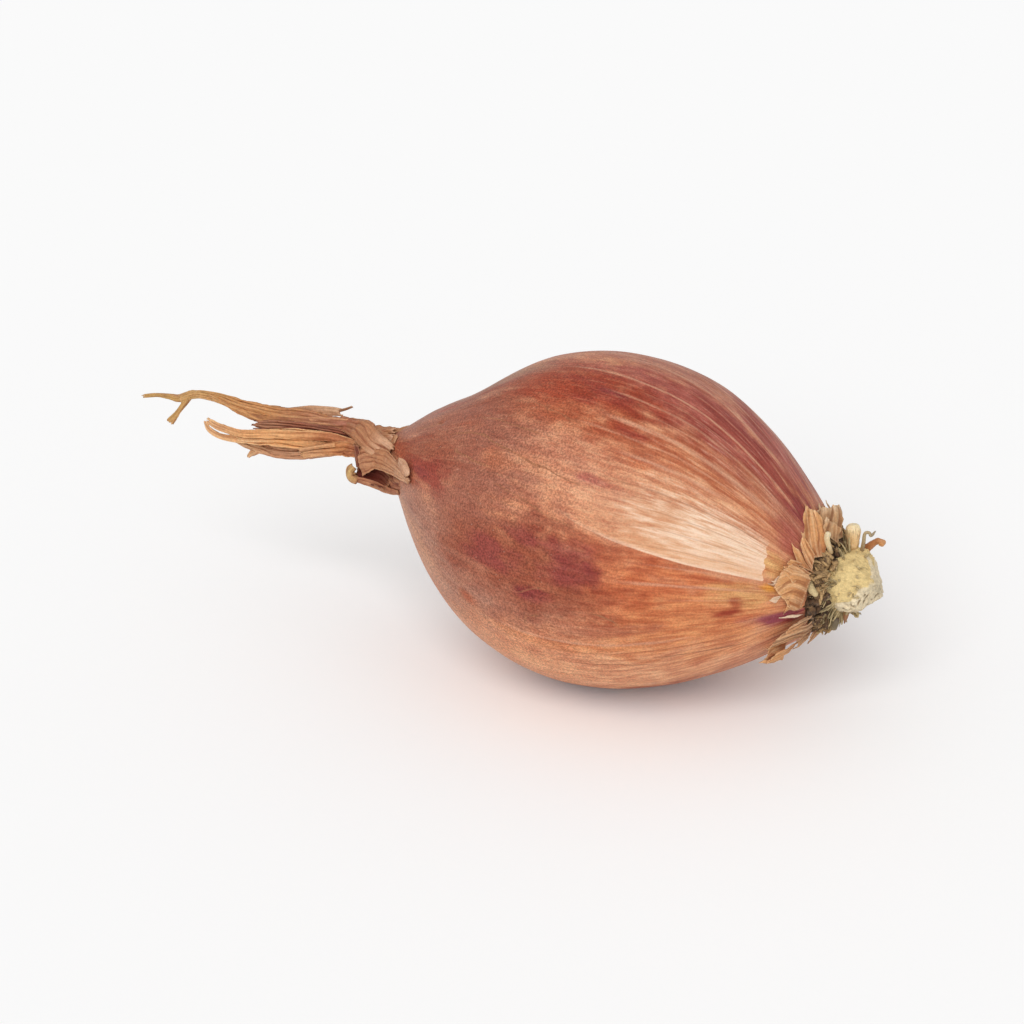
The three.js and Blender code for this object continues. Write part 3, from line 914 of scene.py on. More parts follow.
VEINS = (
    Vein(-27, 8, 22, 0.2, 0.4),
    Vein(-18, 2, 22, 0.2, 0.35),
    Vein(-8.5, 0, 24, 0.3, 0.75),
    Vein(0, 7, 20, 0.14, 0.35),
    Vein(7.2, -7, 27, 0.2, 0.95),
    Vein(12, 5, 21, 0.12, 0.4),
    Vein(16.5, 0, 26, 0.2, 0.65),
    Vein(21.5, 6, 22, 0.13, 0.4),
    Vein(27.5, 1, 25, 0.36, 0.95),
    Vein(33, -2, 22, 0.18, 0.5),
    Vein(39, 4, 20, 0.24, 0.8),
    Vein(49, 3, 26, 0.13, -0.75),
    Vein(56, 8, 24, 0.09, -0.5),
    Vein(62, 9, 24, 0.09, -0.45),
    Vein(69, 8, 24, 0.09, -0.5),
    Vein(76, 9, 21, 0.14, 0.4),
    Vein(83.5, 7, 24, 0.24, 0.8),
    Vein(90, 12, 24, 0.14, 0.4),
    Vein(97, 9, 20, 0.12, -0.35),
    Vein(104, 2, 22, 0.12, -0.4),
    Vein(110.5, -9, 18, 0.26, 0.8),
    Vein(115, -3, 24, 0.1, -0.75),
    Vein(119, 0, 15, 0.1, -0.5),
    Vein(126, -2, 22, 0.12, -0.4),
    Vein(136, -3, 22, 0.16, 0.3),
)

CRACKS = (
    Crack(((-19, 44), (-15, 44.5), (-12, 46), (-10.5, 48.5), (-7, 51), (-2, 52.5), (3, 55)), 0.5),
    Crack(((-18, 52), (-15.5, 55), (-13, 56.5), (-10, 57.5)), 0.45),
    Crack(((-26, 33), (-23, 35), (-20.5, 34)), 0.6),
    Crack(((-5, 96), (-2, 92), (0, 90)), 0.3),
    Crack(((5, 96), (8, 99), (9, 102)), 0.6),
    Crack(((-4, 108), (-3, 103), (-1, 101)), 0.4),
    Crack(((-13, 104), (-14, 108), (-12, 112)), 0.4),
    Crack(((-15, 36), (-9, 40), (-4, 42)), 0.4),
    Crack(((-10, 62), (-4, 65), (3, 69)), 0.35),
    Crack(((12, 119), (17, 121), (23, 126)), 0.5),
    Crack(((2, 121), (8, 122), (13, 124)), 0.4),
    Crack(((-8, 29), (-2, 33), (1, 34)), 0.3),
)


@dataclass
class Bulb:
    """The bulb: a round body drawn out to a neck, with painted and veined skin.

    Attributes:
        outline: Distance along the axis and radius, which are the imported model's own.
        hollow: Where the dip over the neck's shoulder lies, its reach, depth and turn.
        meridians: Faces round the bulb.
        rings: Faces along it.
    """

    outline: tuple[tuple[float, float], ...] = (
        (-30.4, 3.0),
        (-29.2, 4.3),
        (-27.4, 6.6),
        (-25.0, 9.6),
        (-21.5, 13.3),
        (-16.5, 17.1),
        (-10.5, 20.1),
        (-5.0, 21.6),
        (0.0, 22.0),
        (6.0, 21.4),
        (12.0, 19.6),
        (17.0, 17.0),
        (21.0, 14.3),
        (24.5, 11.4),
        (27.2, 8.9),
        (28.8, 7.2),
    )
    neck_bend: tuple[float, float] = (-13.0, 4.6)
    root_bend: tuple[float, float] = (8.0, -2.8)
    hollow: tuple[float, float, float, float] = (-20.0, 5.5, 1.5, 0.5)
    axis_height: float = 21.45
    meridians: int = 360
    rings: int = 250
    window_depth: float = 0.1
    seed: int = 11

    def axis_rise(self, along: np.ndarray) -> np.ndarray:
        """How far the axis is raised, in millimetres, at distances along it."""
        neck_x, root_x = self.outline[0][0], self.outline[-1][0]
        neck = np.maximum(0.0, (self.neck_bend[0] - along) / (self.neck_bend[0] - neck_x))
        root = np.maximum(0.0, (along - self.root_bend[0]) / (root_x - self.root_bend[0]))
        return self.neck_bend[1] * neck**2 + self.root_bend[1] * root**2

    def end(self, along: float) -> Vector:
        """The middle of the axis at a distance along it."""
        return Vector((along, 0.0, self.axis_height + float(self.axis_rise(np.array(along)))))

    def neck_end(self) -> Vector:
        """The middle of the bulb's neck end."""
        return self.end(self.outline[0][0])

    def root_end(self) -> Vector:
        """The middle of the bulb's root end."""
        return self.end(self.outline[-1][0])

    def build(self, effects: Effects) -> bpy.types.Object:
        """Makes the bulb.

        Args:
            effects: The shared effects.

        Returns:
            The finished bulb.
        """
        bm = new_form()
        bm.verts.layers.float_vector.new("window")
        bm.verts.layers.float_vector.new("vein_form")
        bm.verts.layers.float_vector.new("crack")
        bm.loops.layers.uv.new("veins")
        line = Path([(x, 0.0, r, 0.0) for x, r in self.outline], Vector(), (0, 1, 0))
        points = line.at(np.linspace(0.0, 1.0, self.rings - 1))[0].tolist()
        ends = [(self.outline[0][0], 0.0, 0.0)], [(self.outline[-1][0], 0.0, 0.0)]
        profile = [bm.verts.new(point) for point in (*ends[0], *points, *ends[1])]
        for first, second in zip(profile, profile[1:]):
            bm.edges.new((first, second))
        bmesh.ops.spin(
            bm,
            geom=[*bm.verts, *bm.edges],
            cent=(0, 0, 0),
            axis=(1, 0, 0),
            angle=math.tau,
            steps=self.meridians,
            use_merge=True,
        )
        bmesh.ops.remove_doubles(bm, verts=bm.verts, dist=1e-5)
        round_form = read_vertices(bm.verts)
        turn = np.arctan2(-round_form[:, 1], round_form[:, 2])
        along = round_form[:, 0]
        vein_turn = self._vein_turn(along, turn, np.hypot(round_form[:, 1], round_form[:, 2]))
        self._sculpt(bm, round_form, turn, vein_turn)
        self._mark(bm, along, vein_turn)
        piece = finished(bm, "bulb_skin", SkinFinish().material(effects), ["bulb"])
        self._paint(piece.data, along, vein_turn)
        return piece

    def _vein_turn(self, along: np.ndarray, turn: np.ndarray, radius: np.ndarray) -> np.ndarray:
        """The turn that each place has in the skin's own pattern, whose poles lie off the axis.

        Args:
            along: Distances along the axis.
            turn: Turns round it, in radians.
            radius: Distances from it.

        Returns:
            The pattern's turns, in radians.
        """
        root_pull = 2.4 * np.clip(along / 28.8, 0, 1) ** 1.6 / np.maximum(radius, 3.0)
        neck_pull = math.radians(8.2) * np.clip((8 - along) / 23, 0, 1) ** 1.3
        pattern = turn.copy()
        for _ in range(4):
            shift = root_pull * np.sin(math.radians(80) - pattern)
            shift += neck_pull * np.sin(math.radians(-45) - pattern)
            pattern = turn - shift
        return pattern

    def _window_edges(self, along: np.ndarray, degrees: np.ndarray) -> tuple[np.ndarray, ...]:
        """Distances into the pale window: from its lower edge, its strength and its cut end."""
        lower_turn = np.interp(along, (-8, -3, 3, 9, 16, 24), (60, 62, 67, 70.3, 73.8, 75.6))
        upper_turn = np.interp(along, (-8, 2, 8, 12, 22, 24), (57, 50, 47, 45.5, 47, 50))
        radius = np.interp(along, *zip(*self.outline))
        lower = (lower_turn - degrees) * np.radians(1.0) * radius
        above = smoothstep(-9.0, 13.0, degrees - upper_turn)
        inside = smoothstep(-8.0, -1.0, lower_turn + 6 - degrees)
        strength = above * inside * smoothstep(-4.0, 17.0, along)
        cut = 24.35 - along + 0.12 * np.sin(degrees * 0.7) + 0.05 * np.sin(degrees * 2.3)
        return lower, strength, cut

    def _sculpt(self, bm: bmesh.types.BMesh, form: np.ndarray, turn: np.ndarray, pattern: np.ndarray) -> None:
        """Moves the round form's vertices to the shallot's own shape.

        Args:
            bm: The round form.
            form: The places of its vertices.
            turn: Their turns round the axis, in radians.
            pattern: Their turns in the skin's pattern, in radians.
        """
        along = form[:, 0]
        radius = np.hypot(form[:, 1], form[:, 2])
        at, reach, depth, hollow_turn = self.hollow
        sink = depth * np.exp(-(((along - at) / reach) ** 2))
        sink *= np.maximum(0.0, np.cos(turn + hollow_turn)) ** 2
        round_share = smoothstep(0.0, 8.0, radius)
        ring = np.stack([np.cos(pattern), np.sin(pattern), along], axis=1)
        ribs = grain_at(ring * (6.0, 6.0, 0.03) + self.seed, 2)
        fine = grain_at(ring * (22.0, 22.0, 0.05) + self.seed, 1)
        rootward = smoothstep(-5.0, 22.0, along)
        relief = 0.1 * ribs * (0.4 + rootward) + 0.035 * fine * (0.5 + rootward)
        degrees = np.degrees(pattern)
        lower, strength, cut = self._window_edges(along, degrees)
        window = smoothstep(-0.15, 0.15, lower) * strength * smoothstep(-0.1, 0.1, cut)
        relief -= self.window_depth * window
        pit = np.hypot((along + 21.3) / 0.7, (degrees - 34) / 3.0)
        relief -= 0.25 * (1 - smoothstep(0.2, 1.0, pit))
        radius = np.maximum(0.0, radius - sink + relief * round_share)
        height = self.axis_height + self.axis_rise(along)
        y = -radius * np.sin(turn)
        z = np.maximum(0.0, height + radius * np.cos(turn))
        move_vertices(bm.verts, np.stack([along, y, z], axis=1))

    def _mark(self, bm: bmesh.types.BMesh, along: np.ndarray, pattern: np.ndarray) -> None:
        """Stores what the skin's material reads: its place, veins and window.

        Args:
            bm: The sculpted bulb.
            along: Distances along the axis.
            pattern: Turns in the skin's pattern, in radians.
        """
        verts = list(bm.verts)
        degrees = np.degrees(pattern)
        ring = np.stack([np.cos(pattern), np.sin(pattern), along], axis=1)
        write_layer(bm, verts, "place", ring)
        write_layer(bm, verts, "window", np.stack(self._window_edges(along, degrees), axis=1))
        write_layer(bm, verts, "crack", self._crack_field(along, degrees))

        rng = random.Random(self.seed)
        veins = list(VEINS)
        turn = VEINS[-1].turn
        while turn < VEINS[0].turn + 346:
            turn += rng.uniform(5.0, 10.0)
            start = rng.uniform(-12, 6)
            strength = rng.choice((0.3, 0.5, 0.8, -0.3, -0.5))
            veins.append(Vein(turn, start, rng.uniform(16, 26), rng.uniform(0.12, 0.3), strength))
        first = veins[0].turn
        turns = np.array([vein.turn for vein in veins] + [first + 360.0])
        wrapped = (degrees - first) % 360.0 + first
        number = np.interp(wrapped, turns, np.arange(len(turns)))
        nearest = np.rint(number).astype(int) % len(veins)
        low = np.minimum(number.astype(int), len(turns) - 2)
        gap = np.radians(turns[low + 1] - turns[low]) * np.interp(along, *zip(*self.outline))
        starts, stops, widths, strengths = (
            np.array([getattr(vein, part) for vein in veins])[nearest]
            for part in ("start", "end", "width", "strength")
        )
        shown = smoothstep(0.0, 5.0, along - starts) * smoothstep(0.0, 3.0, stops - along) * strengths
        write_layer(bm, verts, "vein_form", np.stack([shown, widths, gap], axis=1))

        uv = bm.loops.layers.uv.get("veins")
        bm.verts.index_update()
        count = len(veins)
        for face in bm.faces:
            corners = [number[loop.vert.index] for loop in face.loops]
            top = max(corners)
            for loop, corner in zip(face.loops, corners):
                value = corner + count if top - corner > count / 2 else corner
                loop[uv].uv = (value, along[loop.vert.index] * 0.01)

    def _crack_field(self, along: np.ndarray, degrees: np.ndarray) -> np.ndarray:
        """For each place, how far to one side of the nearest crack it lies, and that crack's strength."""
        degree = np.radians(1.0) * np.interp(along, *zip(*self.outline))
        offset = np.full(len(along), 9.0)
        strength = np.zeros(len(along))
        for crack in CRACKS:
            for (x0, t0), (x1, t1) in zip(crack.points, crack.points[1:]):
                run = np.stack([np.full(len(along), x1 - x0), (t1 - t0) * degree])
                gap = np.stack([along - x0, (degrees - t0) * degree])
                size = np.hypot(*run)
                share = (run * gap).sum(axis=0) / size**2
                side = (run[0] * gap[1] - run[1] * gap[0]) / size
                near = (share > -0.02) & (share < 1.02) & (np.abs(side) < np.abs(offset))
                offset = np.where(near, side, offset)
                strength = np.where(near & (np.abs(side) < 1.2), crack.strength, strength)
            for x, turn in (crack.points[0], crack.points[-1]):
                end = np.hypot(along - x, (degrees - turn) * degree)
                strength = np.where(end < 1.5, strength * smoothstep(0.0, 1.5, end), strength)
        return np.stack([offset, strength, np.zeros(len(along))], axis=1)

    def _paint(self, mesh: bpy.types.Mesh, along: np.ndarray, pattern: np.ndarray) -> None:
        """Paints the dabs of colour, streaked along the veins, into an attribute.

        Args:
            mesh: The bulb's mesh.
            along: Distances along the axis, for its vertices.
            pattern: Turns in the skin's pattern, in radians.
        """
        ring = np.stack([np.cos(pattern), np.sin(pattern), along], axis=1)
        blotch = grain_at(ring * (6.5, 6.5, 0.3) + 3.1, 3)
        streak = grain_at(ring * (22.0, 22.0, 0.4) + 7.7, 3)
        ragged = (0.42 * blotch + 0.34 * streak) * (0.62 + 0.38 * smoothstep(-16.0, 2.0, along))
        degrees = np.degrees(pattern)
        colour = np.tile(np.array(Tone.APRICOT.value), (len(along), 1))
        for dab in (*self._rear_dabs(), *SKIN_DABS):
            round_gap = (degrees - dab.turn + 180.0) % 360.0 - 180.0
            reach = np.hypot((along - dab.along) / dab.length, round_gap / dab.spread) + ragged
            share = dab.strength * (1.0 - smoothstep(0.35, 1.25, reach))
            colour += (np.array(dab.tone.value) - colour) * share[:, None]
        clouds = grain_at(ring * (8.0, 8.0, 0.36) + 12.3, 4) + 0.5 * grain_at(ring * (30.0, 30.0, 0.9) + 1.3, 2)
        clouds += 0.95 * smoothstep(-10.0, 14.0, along) * grain_at(ring * (19.0, 19.0, 0.1) + 4.4, 3)
        clouds *= 0.5 + 0.5 * smoothstep(-14.0, 6.0, along)
        colour *= 1.0 + np.outer(clouds, (0.13, 0.26, 0.28))
        layer = mesh.attributes.new("paint", "FLOAT_COLOR", "POINT")
        layer.data.foreach_set("color", np.c_[colour, np.ones(len(colour))].astype(np.float32).ravel())

    def _rear_dabs(self) -> list[Dab]:
        """Colour for the side that rests away from the front: bands of the same tones."""
        rng = random.Random(self.seed + 1)
        warm = (Tone.RUST, Tone.MAROON, Tone.COPPER, Tone.BRICK, Tone.PLUM, Tone.PEACH, Tone.UMBER)
        dabs = []
        for step in range(46):
            turn = 150 + step * 180 / 46 + rng.uniform(-5, 5)
            reach = rng.uniform(7, 16)
            along = rng.uniform(-16, 20)
            dabs.append(Dab(rng.choice(warm), along, turn, reach, rng.uniform(4, 10), rng.uniform(0.4, 0.85)))
        dabs.append(Dab(Tone.DUSK, -24, 230, 9, 80, 0.85))
        dabs.append(Dab(Tone.WINE, 25, 240, 5, 60, 0.55))
        return dabs


# ---- Dry leaves, bands and flakes: strips of paper ----


@dataclass(frozen=True)
class Strip:
    """A strip of dry leaf or torn skin that follows a line.

    Attributes:
        stations: Its line and widths, in millimetres from the assembly's origin.
        face: The direction that its broad side looks in.
        pleats: How many folds lie across it.
        fold: How deep they are, in millimetres.
        roll: How far each long edge curls back, in degrees; less than 0 curls it forwards.
        twist: How far it turns about its line from start to end, in degrees.
        ripple: How far its face wanders in and out along it, in millimetres.
        torn: The share of its length by which its far end is torn.
        torn_foot: The share of its length by which its near end is torn.
        slant: The share of its length by which both ends lean over.
        nicks: How uneven its long edges are, as a share of its width.
        shade: How far down in shade its colour lies, from 0 to 1.
        rise: The part of the leaf, from foot to tip, that it is.
        rows: Faces along it for each millimetre.
        columns: Faces across it.
    """

    stations: Sequence[Station]
    face: Triple = (0.0, -0.88, 0.47)
    pleats: float = 3.0
    fold: float = 0.2
    roll: float = 40.0
    twist: float = 0.0
    ripple: float = 0.2
    torn: float = 0.06
    torn_foot: float = 0.0
    slant: float = 0.0
    nicks: float = 0.14
    shade: float = 0.0
    rise: tuple[float, float] = (0.0, 1.0)
    rows: float = 4.0
    columns: int = 30

    def add(self, bm: bmesh.types.BMesh, origin: Vector, seed: float) -> None:
        """Adds the strip to a mesh.

        Args:
            bm: The mesh, in millimetres.
            origin: Where the stations' zero lies.
            seed: A number that makes its folds its own.
        """
        path = Path(self.stations, origin, self.face)
        length = path.length()
        steps = max(10, int(length * self.rows))
        verts = bmesh.ops.create_grid(bm, x_segments=steps, y_segments=self.columns, size=0.5)["verts"]
        unit = read_vertices(verts)
        run, s = unit[:, 0] + 0.5, unit[:, 1] * 2.0
        run = self._torn_run(run, s, seed)
        points, widths, across, out = path.frames(run)
        mm = run * length
        side = np.sign(s)
        uneven = self._broken(mm * 0.9, seed, side * 7.3) + 0.5 * self._broken(mm * 2.7, seed, side * 3.3)
        half = widths / 2 * (1.0 + self.nicks * uneven * s * s)
        sideways, outward = self._rolled(s, half)
        fold = self._folds(s, mm, seed) * np.minimum(1.0, half)
        outward = outward + fold + self.ripple * self._wave(mm * 0.45, seed, s * 0.6 + 2.0)
        spin = math.radians(self.twist) * run
        turned = sideways * np.cos(spin) - outward * np.sin(spin)
        lifted = sideways * np.sin(spin) + outward * np.cos(spin)
        move_vertices(verts, points + across * turned[:, None] + out * lifted[:, None])

        # Painted shade: darker down in each fold, and over the whole strip by its share of shade.
        depth = 0.5 - fold / (2 * self.fold + 1e-6)
        write_layer(bm, verts, "place", np.stack([s * half, np.full(len(s), seed * 9.0), mm], axis=1))
        write_layer(bm, verts, "crease_shade", np.clip(depth * (1 - self.shade) + self.shade, 0.0, 1.0))
        write_layer(bm, verts, "rim", np.maximum(np.abs(s), 2 * np.abs(unit[:, 0])))
        write_layer(bm, verts, "rise", self.rise[0] + run * (self.rise[1] - self.rise[0]))

    def _torn_run(self, run: np.ndarray, s: np.ndarray, seed: float) -> np.ndarray:
        """Places along the strip once its ends are torn."""
        edge = np.abs(self._broken(s * 2.3, seed, 0.3)) * 1.7 + 0.5 * np.abs(self._broken(s * 7.0, seed, 5.3))
        start = self.torn_foot * np.abs(self._wave(s * 3.7, seed, 9.0)) * 1.8
        torn = start + run * (1.0 - self.torn * edge - start)
        return torn * (1.0 - abs(self.slant)) + (abs(self.slant) + self.slant * s) / 2

    def _rolled(self, s: np.ndarray, half: np.ndarray) -> tuple[np.ndarray, np.ndarray]:
        """Distances sideways and outwards once the long edges curl."""
        roll = math.radians(self.roll)
        if abs(roll) < 0.02:
            return s * half, np.zeros(len(s))
        arc = half / abs(roll)
        outward = -math.copysign(1.0, roll) * arc * (1.0 - np.cos(s * abs(roll)))
        return arc * np.sin(s * abs(roll)), outward

    def _folds(self, s: np.ndarray, mm: np.ndarray, seed: float) -> np.ndarray:
        """How far uneven pleats and finer creases lift each place, in millimetres."""
        spread = (s + 1) / 2 * self.pleats
        phase = spread + 0.35 * self._wave(spread * 0.8, seed, 11.0) + 0.5 * self._wave(mm * 0.22, seed, s) + seed
        depth = 0.55 + 0.6 * self._wave(mm * 0.4, seed, np.round(phase) * 1.7)
        fine = zigzag(phase * 2.6 + 0.5 * self._wave(mm * 0.5, seed, s * 3)) * 0.28
        return (zigzag(phase) * depth + fine) * self.fold

    def _broken(self, run: np.ndarray, seed: float, lane: object) -> np.ndarray:
        """The same noise along `run`, but in straight pieces, like the edge of torn paper."""
        low = np.floor(run)
        share = run - low
        first, second = (self._wave((low + step) * 0.77 + 0.31, seed, lane) for step in (0, 1))
        return first * (1.0 - share) + second * share

    @staticmethod
    def _wave(run: np.ndarray, seed: float, lane: object) -> np.ndarray:
        """Smooth noise along `run`, its own for each seed and lane."""
        rows = np.stack([run, np.full(len(run), seed * 3.7), np.zeros(len(run)) + lane], axis=1)
        return grain_at(rows, 2)


@dataclass(frozen=True)
class PaperPiece:
    """A piece made of one or more strips, and the CAD node that it stands for."""

    name: str
    node: str
    finish: PaperFinish
    slot: Slot
    strips: tuple[Strip, ...]
    thick: float = 0.16

    def build(self, origin: Vector, effects: Effects, seed: float) -> bpy.types.Object:
        """Makes the piece.

        Args:
            origin: Where its strips' stations start from, in millimetres.
            effects: The shared effects.
            seed: A number that makes its folds its own.

        Returns:
            The finished piece.
        """
        bm = new_form("crease_shade", "rim", "rise")
        for step, strip in enumerate(self.strips):
            strip.add(bm, origin, seed + 0.37 * step)
        material = bpy.data.materials.get(self.finish.name) or self.finish.material(effects)
        return finished(bm, self.name, material, [self.node], self.thick)


UPPER_TAN = PaperFinish(
    "upper leaf", (0.58, 0.27, 0.1), (0.74, 0.42, 0.19), (0.22, 0.065, 0.025), (0.47, 0.185, 0.115), (0.52, 0.3, 0.1)
)
OCHRE = PaperFinish(
    "middle leaf", (0.77, 0.38, 0.15), (0.88, 0.54, 0.27), (0.3, 0.085, 0.025), (0.5, 0.18, 0.075), (0.76, 0.44, 0.22)
)
PINK_TAN = PaperFinish(
    "lower leaf", (0.62, 0.3, 0.155), (0.76, 0.45, 0.26), (0.3, 0.1, 0.05), (0.46, 0.17, 0.08), (0.66, 0.4, 0.2)
)
BACK_TAN = PaperFinish("back leaf", (0.55, 0.29, 0.16), (0.7, 0.44, 0.27), (0.3, 0.14, 0.07))
BURNT = PaperFinish(
    "short leaf", (0.58, 0.24, 0.09), (0.72, 0.38, 0.17), (0.26, 0.07, 0.025), (0.42, 0.14, 0.06), (0.64, 0.34, 0.17)
)
MAUVE = PaperFinish("inner leaf", (0.33, 0.1, 0.052), (0.5, 0.21, 0.12), (0.07, 0.012, 0.005), None, (0.55, 0.27, 0.15))
COLLAR = PaperFinish("collar", (0.46, 0.21, 0.1), (0.6, 0.34, 0.185), (0.27, 0.09, 0.04), fibres=3.0)
# The pouch's deep tone is painted shade for its dark inside and its creases, as well as the tone of its stains.
POUCH = PaperFinish("pouch", (0.4, 0.15, 0.075), (0.54, 0.26, 0.13), (0.1, 0.006, 0.003), None, (0.6, 0.38, 0.15))
BAND = PaperFinish(
    "band", (0.46, 0.2, 0.092), (0.57, 0.3, 0.155), (0.28, 0.09, 0.04), (0.42, 0.15, 0.08), (0.68, 0.4, 0.25), 3.0
)


@dataclass
class NeckTuft:
    """The dry leaves of the neck, with the sleeve, band, pouch and tag that hold them."""

    origin: Vector
    sleeve: tuple[Station, ...] = (
        (-5.2, 0.4, 1.2, 1.2),
        (-4.6, 0.3, 1.0, 1.6),
        (-3.8, 0.2, 0.8, 2.1),
        (-2.2, 0.2, 0.3, 2.7),
        (-0.9, 0.1, -0.1, 3.2),
        (0.5, 0.0, -0.4, 4.0),
    )
    seed: float = 2.0

    def leaves(self) -> tuple[PaperPiece, ...]:
        """The strands of dry leaf, from the back to the front."""
        back = ((-19.5, 3.0, 1.3, 0.6), (-16.0, 3.1, 2.0, 1.3), (-12.9, 3.2, 2.5, 1.4), (-9.4, 3.2, 2.8, 1.0))
        hook = ((-10.0, 3.1, 3.0, 0.4), (-9.0, 3.2, 3.4, 0.28), (-8.0, 3.2, 3.9, 0.2))
        upper = (
            (-4.6, 1.2, 1.5, 2.6),
            (-5.9, 1.6, 1.6, 3.1),
            (-9.3, 1.8, 1.4, 3.0),
            (-12.3, 1.8, 1.5, 2.7),
            (-15.3, 1.8, 1.7, 3.0),
            (-18.2, 1.6, 1.6, 2.8),
            (-20.9, 1.5, 1.7, 2.9),
            (-23.4, 1.4, 2.0, 2.3),
            (-25.4, 1.4, 2.4, 1.8),
            (-28.0, 1.5, 2.8, 1.5),
            (-30.0, 1.6, 2.8, 1.2),
            (-32.2, 2.1, 2.2, 1.3),
            (-34.0, 2.3, 1.2, 1.1),
        )
        ridge = (
            (-5.6, 1.1, 2.4, 1.3),
            (-9.3, 1.3, 2.0, 1.5),
            (-13.0, 1.4, 1.6, 1.2),
            (-17.0, 1.1, 1.2, 1.4),
            (-20.5, 0.9, 1.0, 1.5),
            (-23.6, 0.9, 1.5, 1.1),
            (-26.4, 1.0, 2.3, 0.7),
            (-29.3, 1.3, 3.0, 0.5),
        )
        tip = ((-32.0, 2.1, 2.3, 1.2), (-34.2, 2.4, 1.2, 1.2), (-35.7, 2.6, 1.1, 0.9), (-37.8, 2.8, 0.9, 0.6), (-40.4, 3.0, 0.2, 0.45))
        prong = ((-32.6, 2.2, 1.6, 1.0), (-33.6, 2.0, 0.1, 0.8), (-34.4, 1.5, -1.1, 0.9), (-35.2, 1.0, -2.1, 1.2))
        middle = (
            (-5.2, -0.9, 0.2, 1.2),
            (-7.3, -0.9, 0.4, 1.5),
            (-10.6, -1.2, 0.5, 2.2),
            (-13.7, -1.6, 0.2, 2.8),
            (-17.1, -2.0, 0.0, 2.5),
            (-20.2, -2.2, -0.4, 2.2),
            (-23.6, -2.4, -0.7, 1.7),
        )
        over = (
            (-5.0, -1.9, 0.9, 1.0),
            (-8.6, -1.6, 1.2, 1.2),
            (-11.6, -1.6, 1.0, 1.2),
            (-15.0, -2.1, 0.8, 1.1),
            (-18.6, -2.4, 0.4, 1.2),
            (-22.4, -2.6, 0.0, 1.1),
            (-25.2, -2.7, 0.5, 0.9),
            (-27.2, -2.8, 1.4, 0.5),
        )
        loop = ((-22.4, -2.4, -1.0, 1.2), (-25.1, -2.7, -0.9, 0.8), (-26.9, -2.8, -0.1, 0.75), (-27.3, -2.9, 1.1, 0.5))
        thread = ((-23.0, -2.5, -0.3, 0.5), (-25.4, -2.8, 0.2, 0.35), (-26.9, -2.9, 0.9, 0.3))
        pleats = (
            (-4.8, 0.6, 0.5, 2.2),
            (-8.5, 0.5, 0.5, 2.3),
            (-11.3, 0.3, 0.7, 2.2),
            (-14.7, 0.2, 0.7, 2.0),
            (-18.1, 0.2, 0.4, 2.0),
            (-22.0, 0.2, 0.1, 1.5),
        )
        shade = ((-4.8, -0.3, -0.3, 1.8), (-9.0, -0.5, 0.2, 1.6), (-13.0, -0.7, -0.6, 1.4), (-16.0, -0.7, -1.2, 1.2))
        lower = (
            (-6.2, 0.3, -0.6, 1.0),
            (-8.6, 0.2, -1.4, 1.3),
            (-11.2, 0.0, -2.0, 1.6),
            (-14.3, -0.4, -2.5, 1.9),
            (-17.8, -0.8, -2.7, 1.9),
            (-19.8, -1.0, -2.5, 1.8),
            (-21.6, -1.4, -2.0, 1.5),
            (-23.6, -1.8, -1.4, 0.8),
        )
        flap = ((-20.2, -1.1, -2.4, 1.6), (-21.2, -1.4, -3.3, 1.0), (-21.8, -1.6, -4.0, 0.25))
        short = (
            (-4.0, -2.6, 0.3, 1.5),
            (-5.9, -2.8, 0.4, 1.9),
            (-7.0, -2.9, 0.5, 2.0),
            (-9.7, -3.1, -0.1, 1.7),
            (-13.0, -3.4, -1.1, 1.2),
        )
        lip = ((-7.8, -3.0, 0.9, 0.5), (-10.0, -3.2, 0.3, 0.4), (-13.0, -3.5, -0.6, 0.4))

        def leaf(name: str, node: str, finish: PaperFinish, *strips: Strip) -> PaperPiece:
            """One strand of leaf."""
            return PaperPiece(name, node, finish, Slot.DRY_LEAF, strips)

        return (
            leaf("leaf_back_blade", "leaf_back", BACK_TAN, Strip(back, fold=0.08), Strip(hook, roll=90, shade=0.7)),
            leaf(
                "leaf_upper_strand",
                "leaf_upper",
                UPPER_TAN,
                Strip(upper, pleats=5, fold=0.3, roll=55, twist=15, torn=0.0),
                Strip(ridge, pleats=2, fold=0.18, roll=50, rise=(0.0, 0.8)),
                Strip(tip, pleats=2, fold=0.12, roll=60, rise=(0.8, 1.0)),
                Strip(prong, pleats=1, fold=0.1, roll=50, torn=0.08, rise=(0.8, 1.0)),
            ),
            leaf(
                "leaf_inner_pleats",
                "leaf_inner",
                MAUVE,
                Strip(pleats, pleats=5, fold=0.34, roll=30, torn=0.12, shade=0.25),
                Strip(shade, pleats=4, fold=0.3, torn=0.25, shade=0.7),
            ),
            leaf(
                "leaf_middle_strand",
                "leaf_middle",
                OCHRE,
                Strip(middle, pleats=3.4, fold=0.4, roll=40, torn=0.04),
                Strip(over, pleats=2, fold=0.14, roll=30, torn=0.08),
                Strip(loop, pleats=1, fold=0.12, torn=0.08, rise=(0.7, 1.0)),
                Strip(thread, pleats=1, fold=0.05, torn=0.1, rise=(0.8, 1.0)),
            ),
            leaf(
                "leaf_lower_strand",
                "leaf_lower",
                PINK_TAN,
                Strip(lower, fold=0.28, roll=50),
                Strip(flap, fold=0.1, torn=0.2, rise=(0.6, 1.0)),
            ),
            leaf(
                "leaf_short_strand",
                "leaf_short",
                BURNT,
                Strip(short, pleats=2.4, fold=0.3, roll=35, torn=0.03),
                Strip(lip, pleats=1, fold=0.06, torn=0.05, rise=(0.7, 1.0)),
            ),
        )

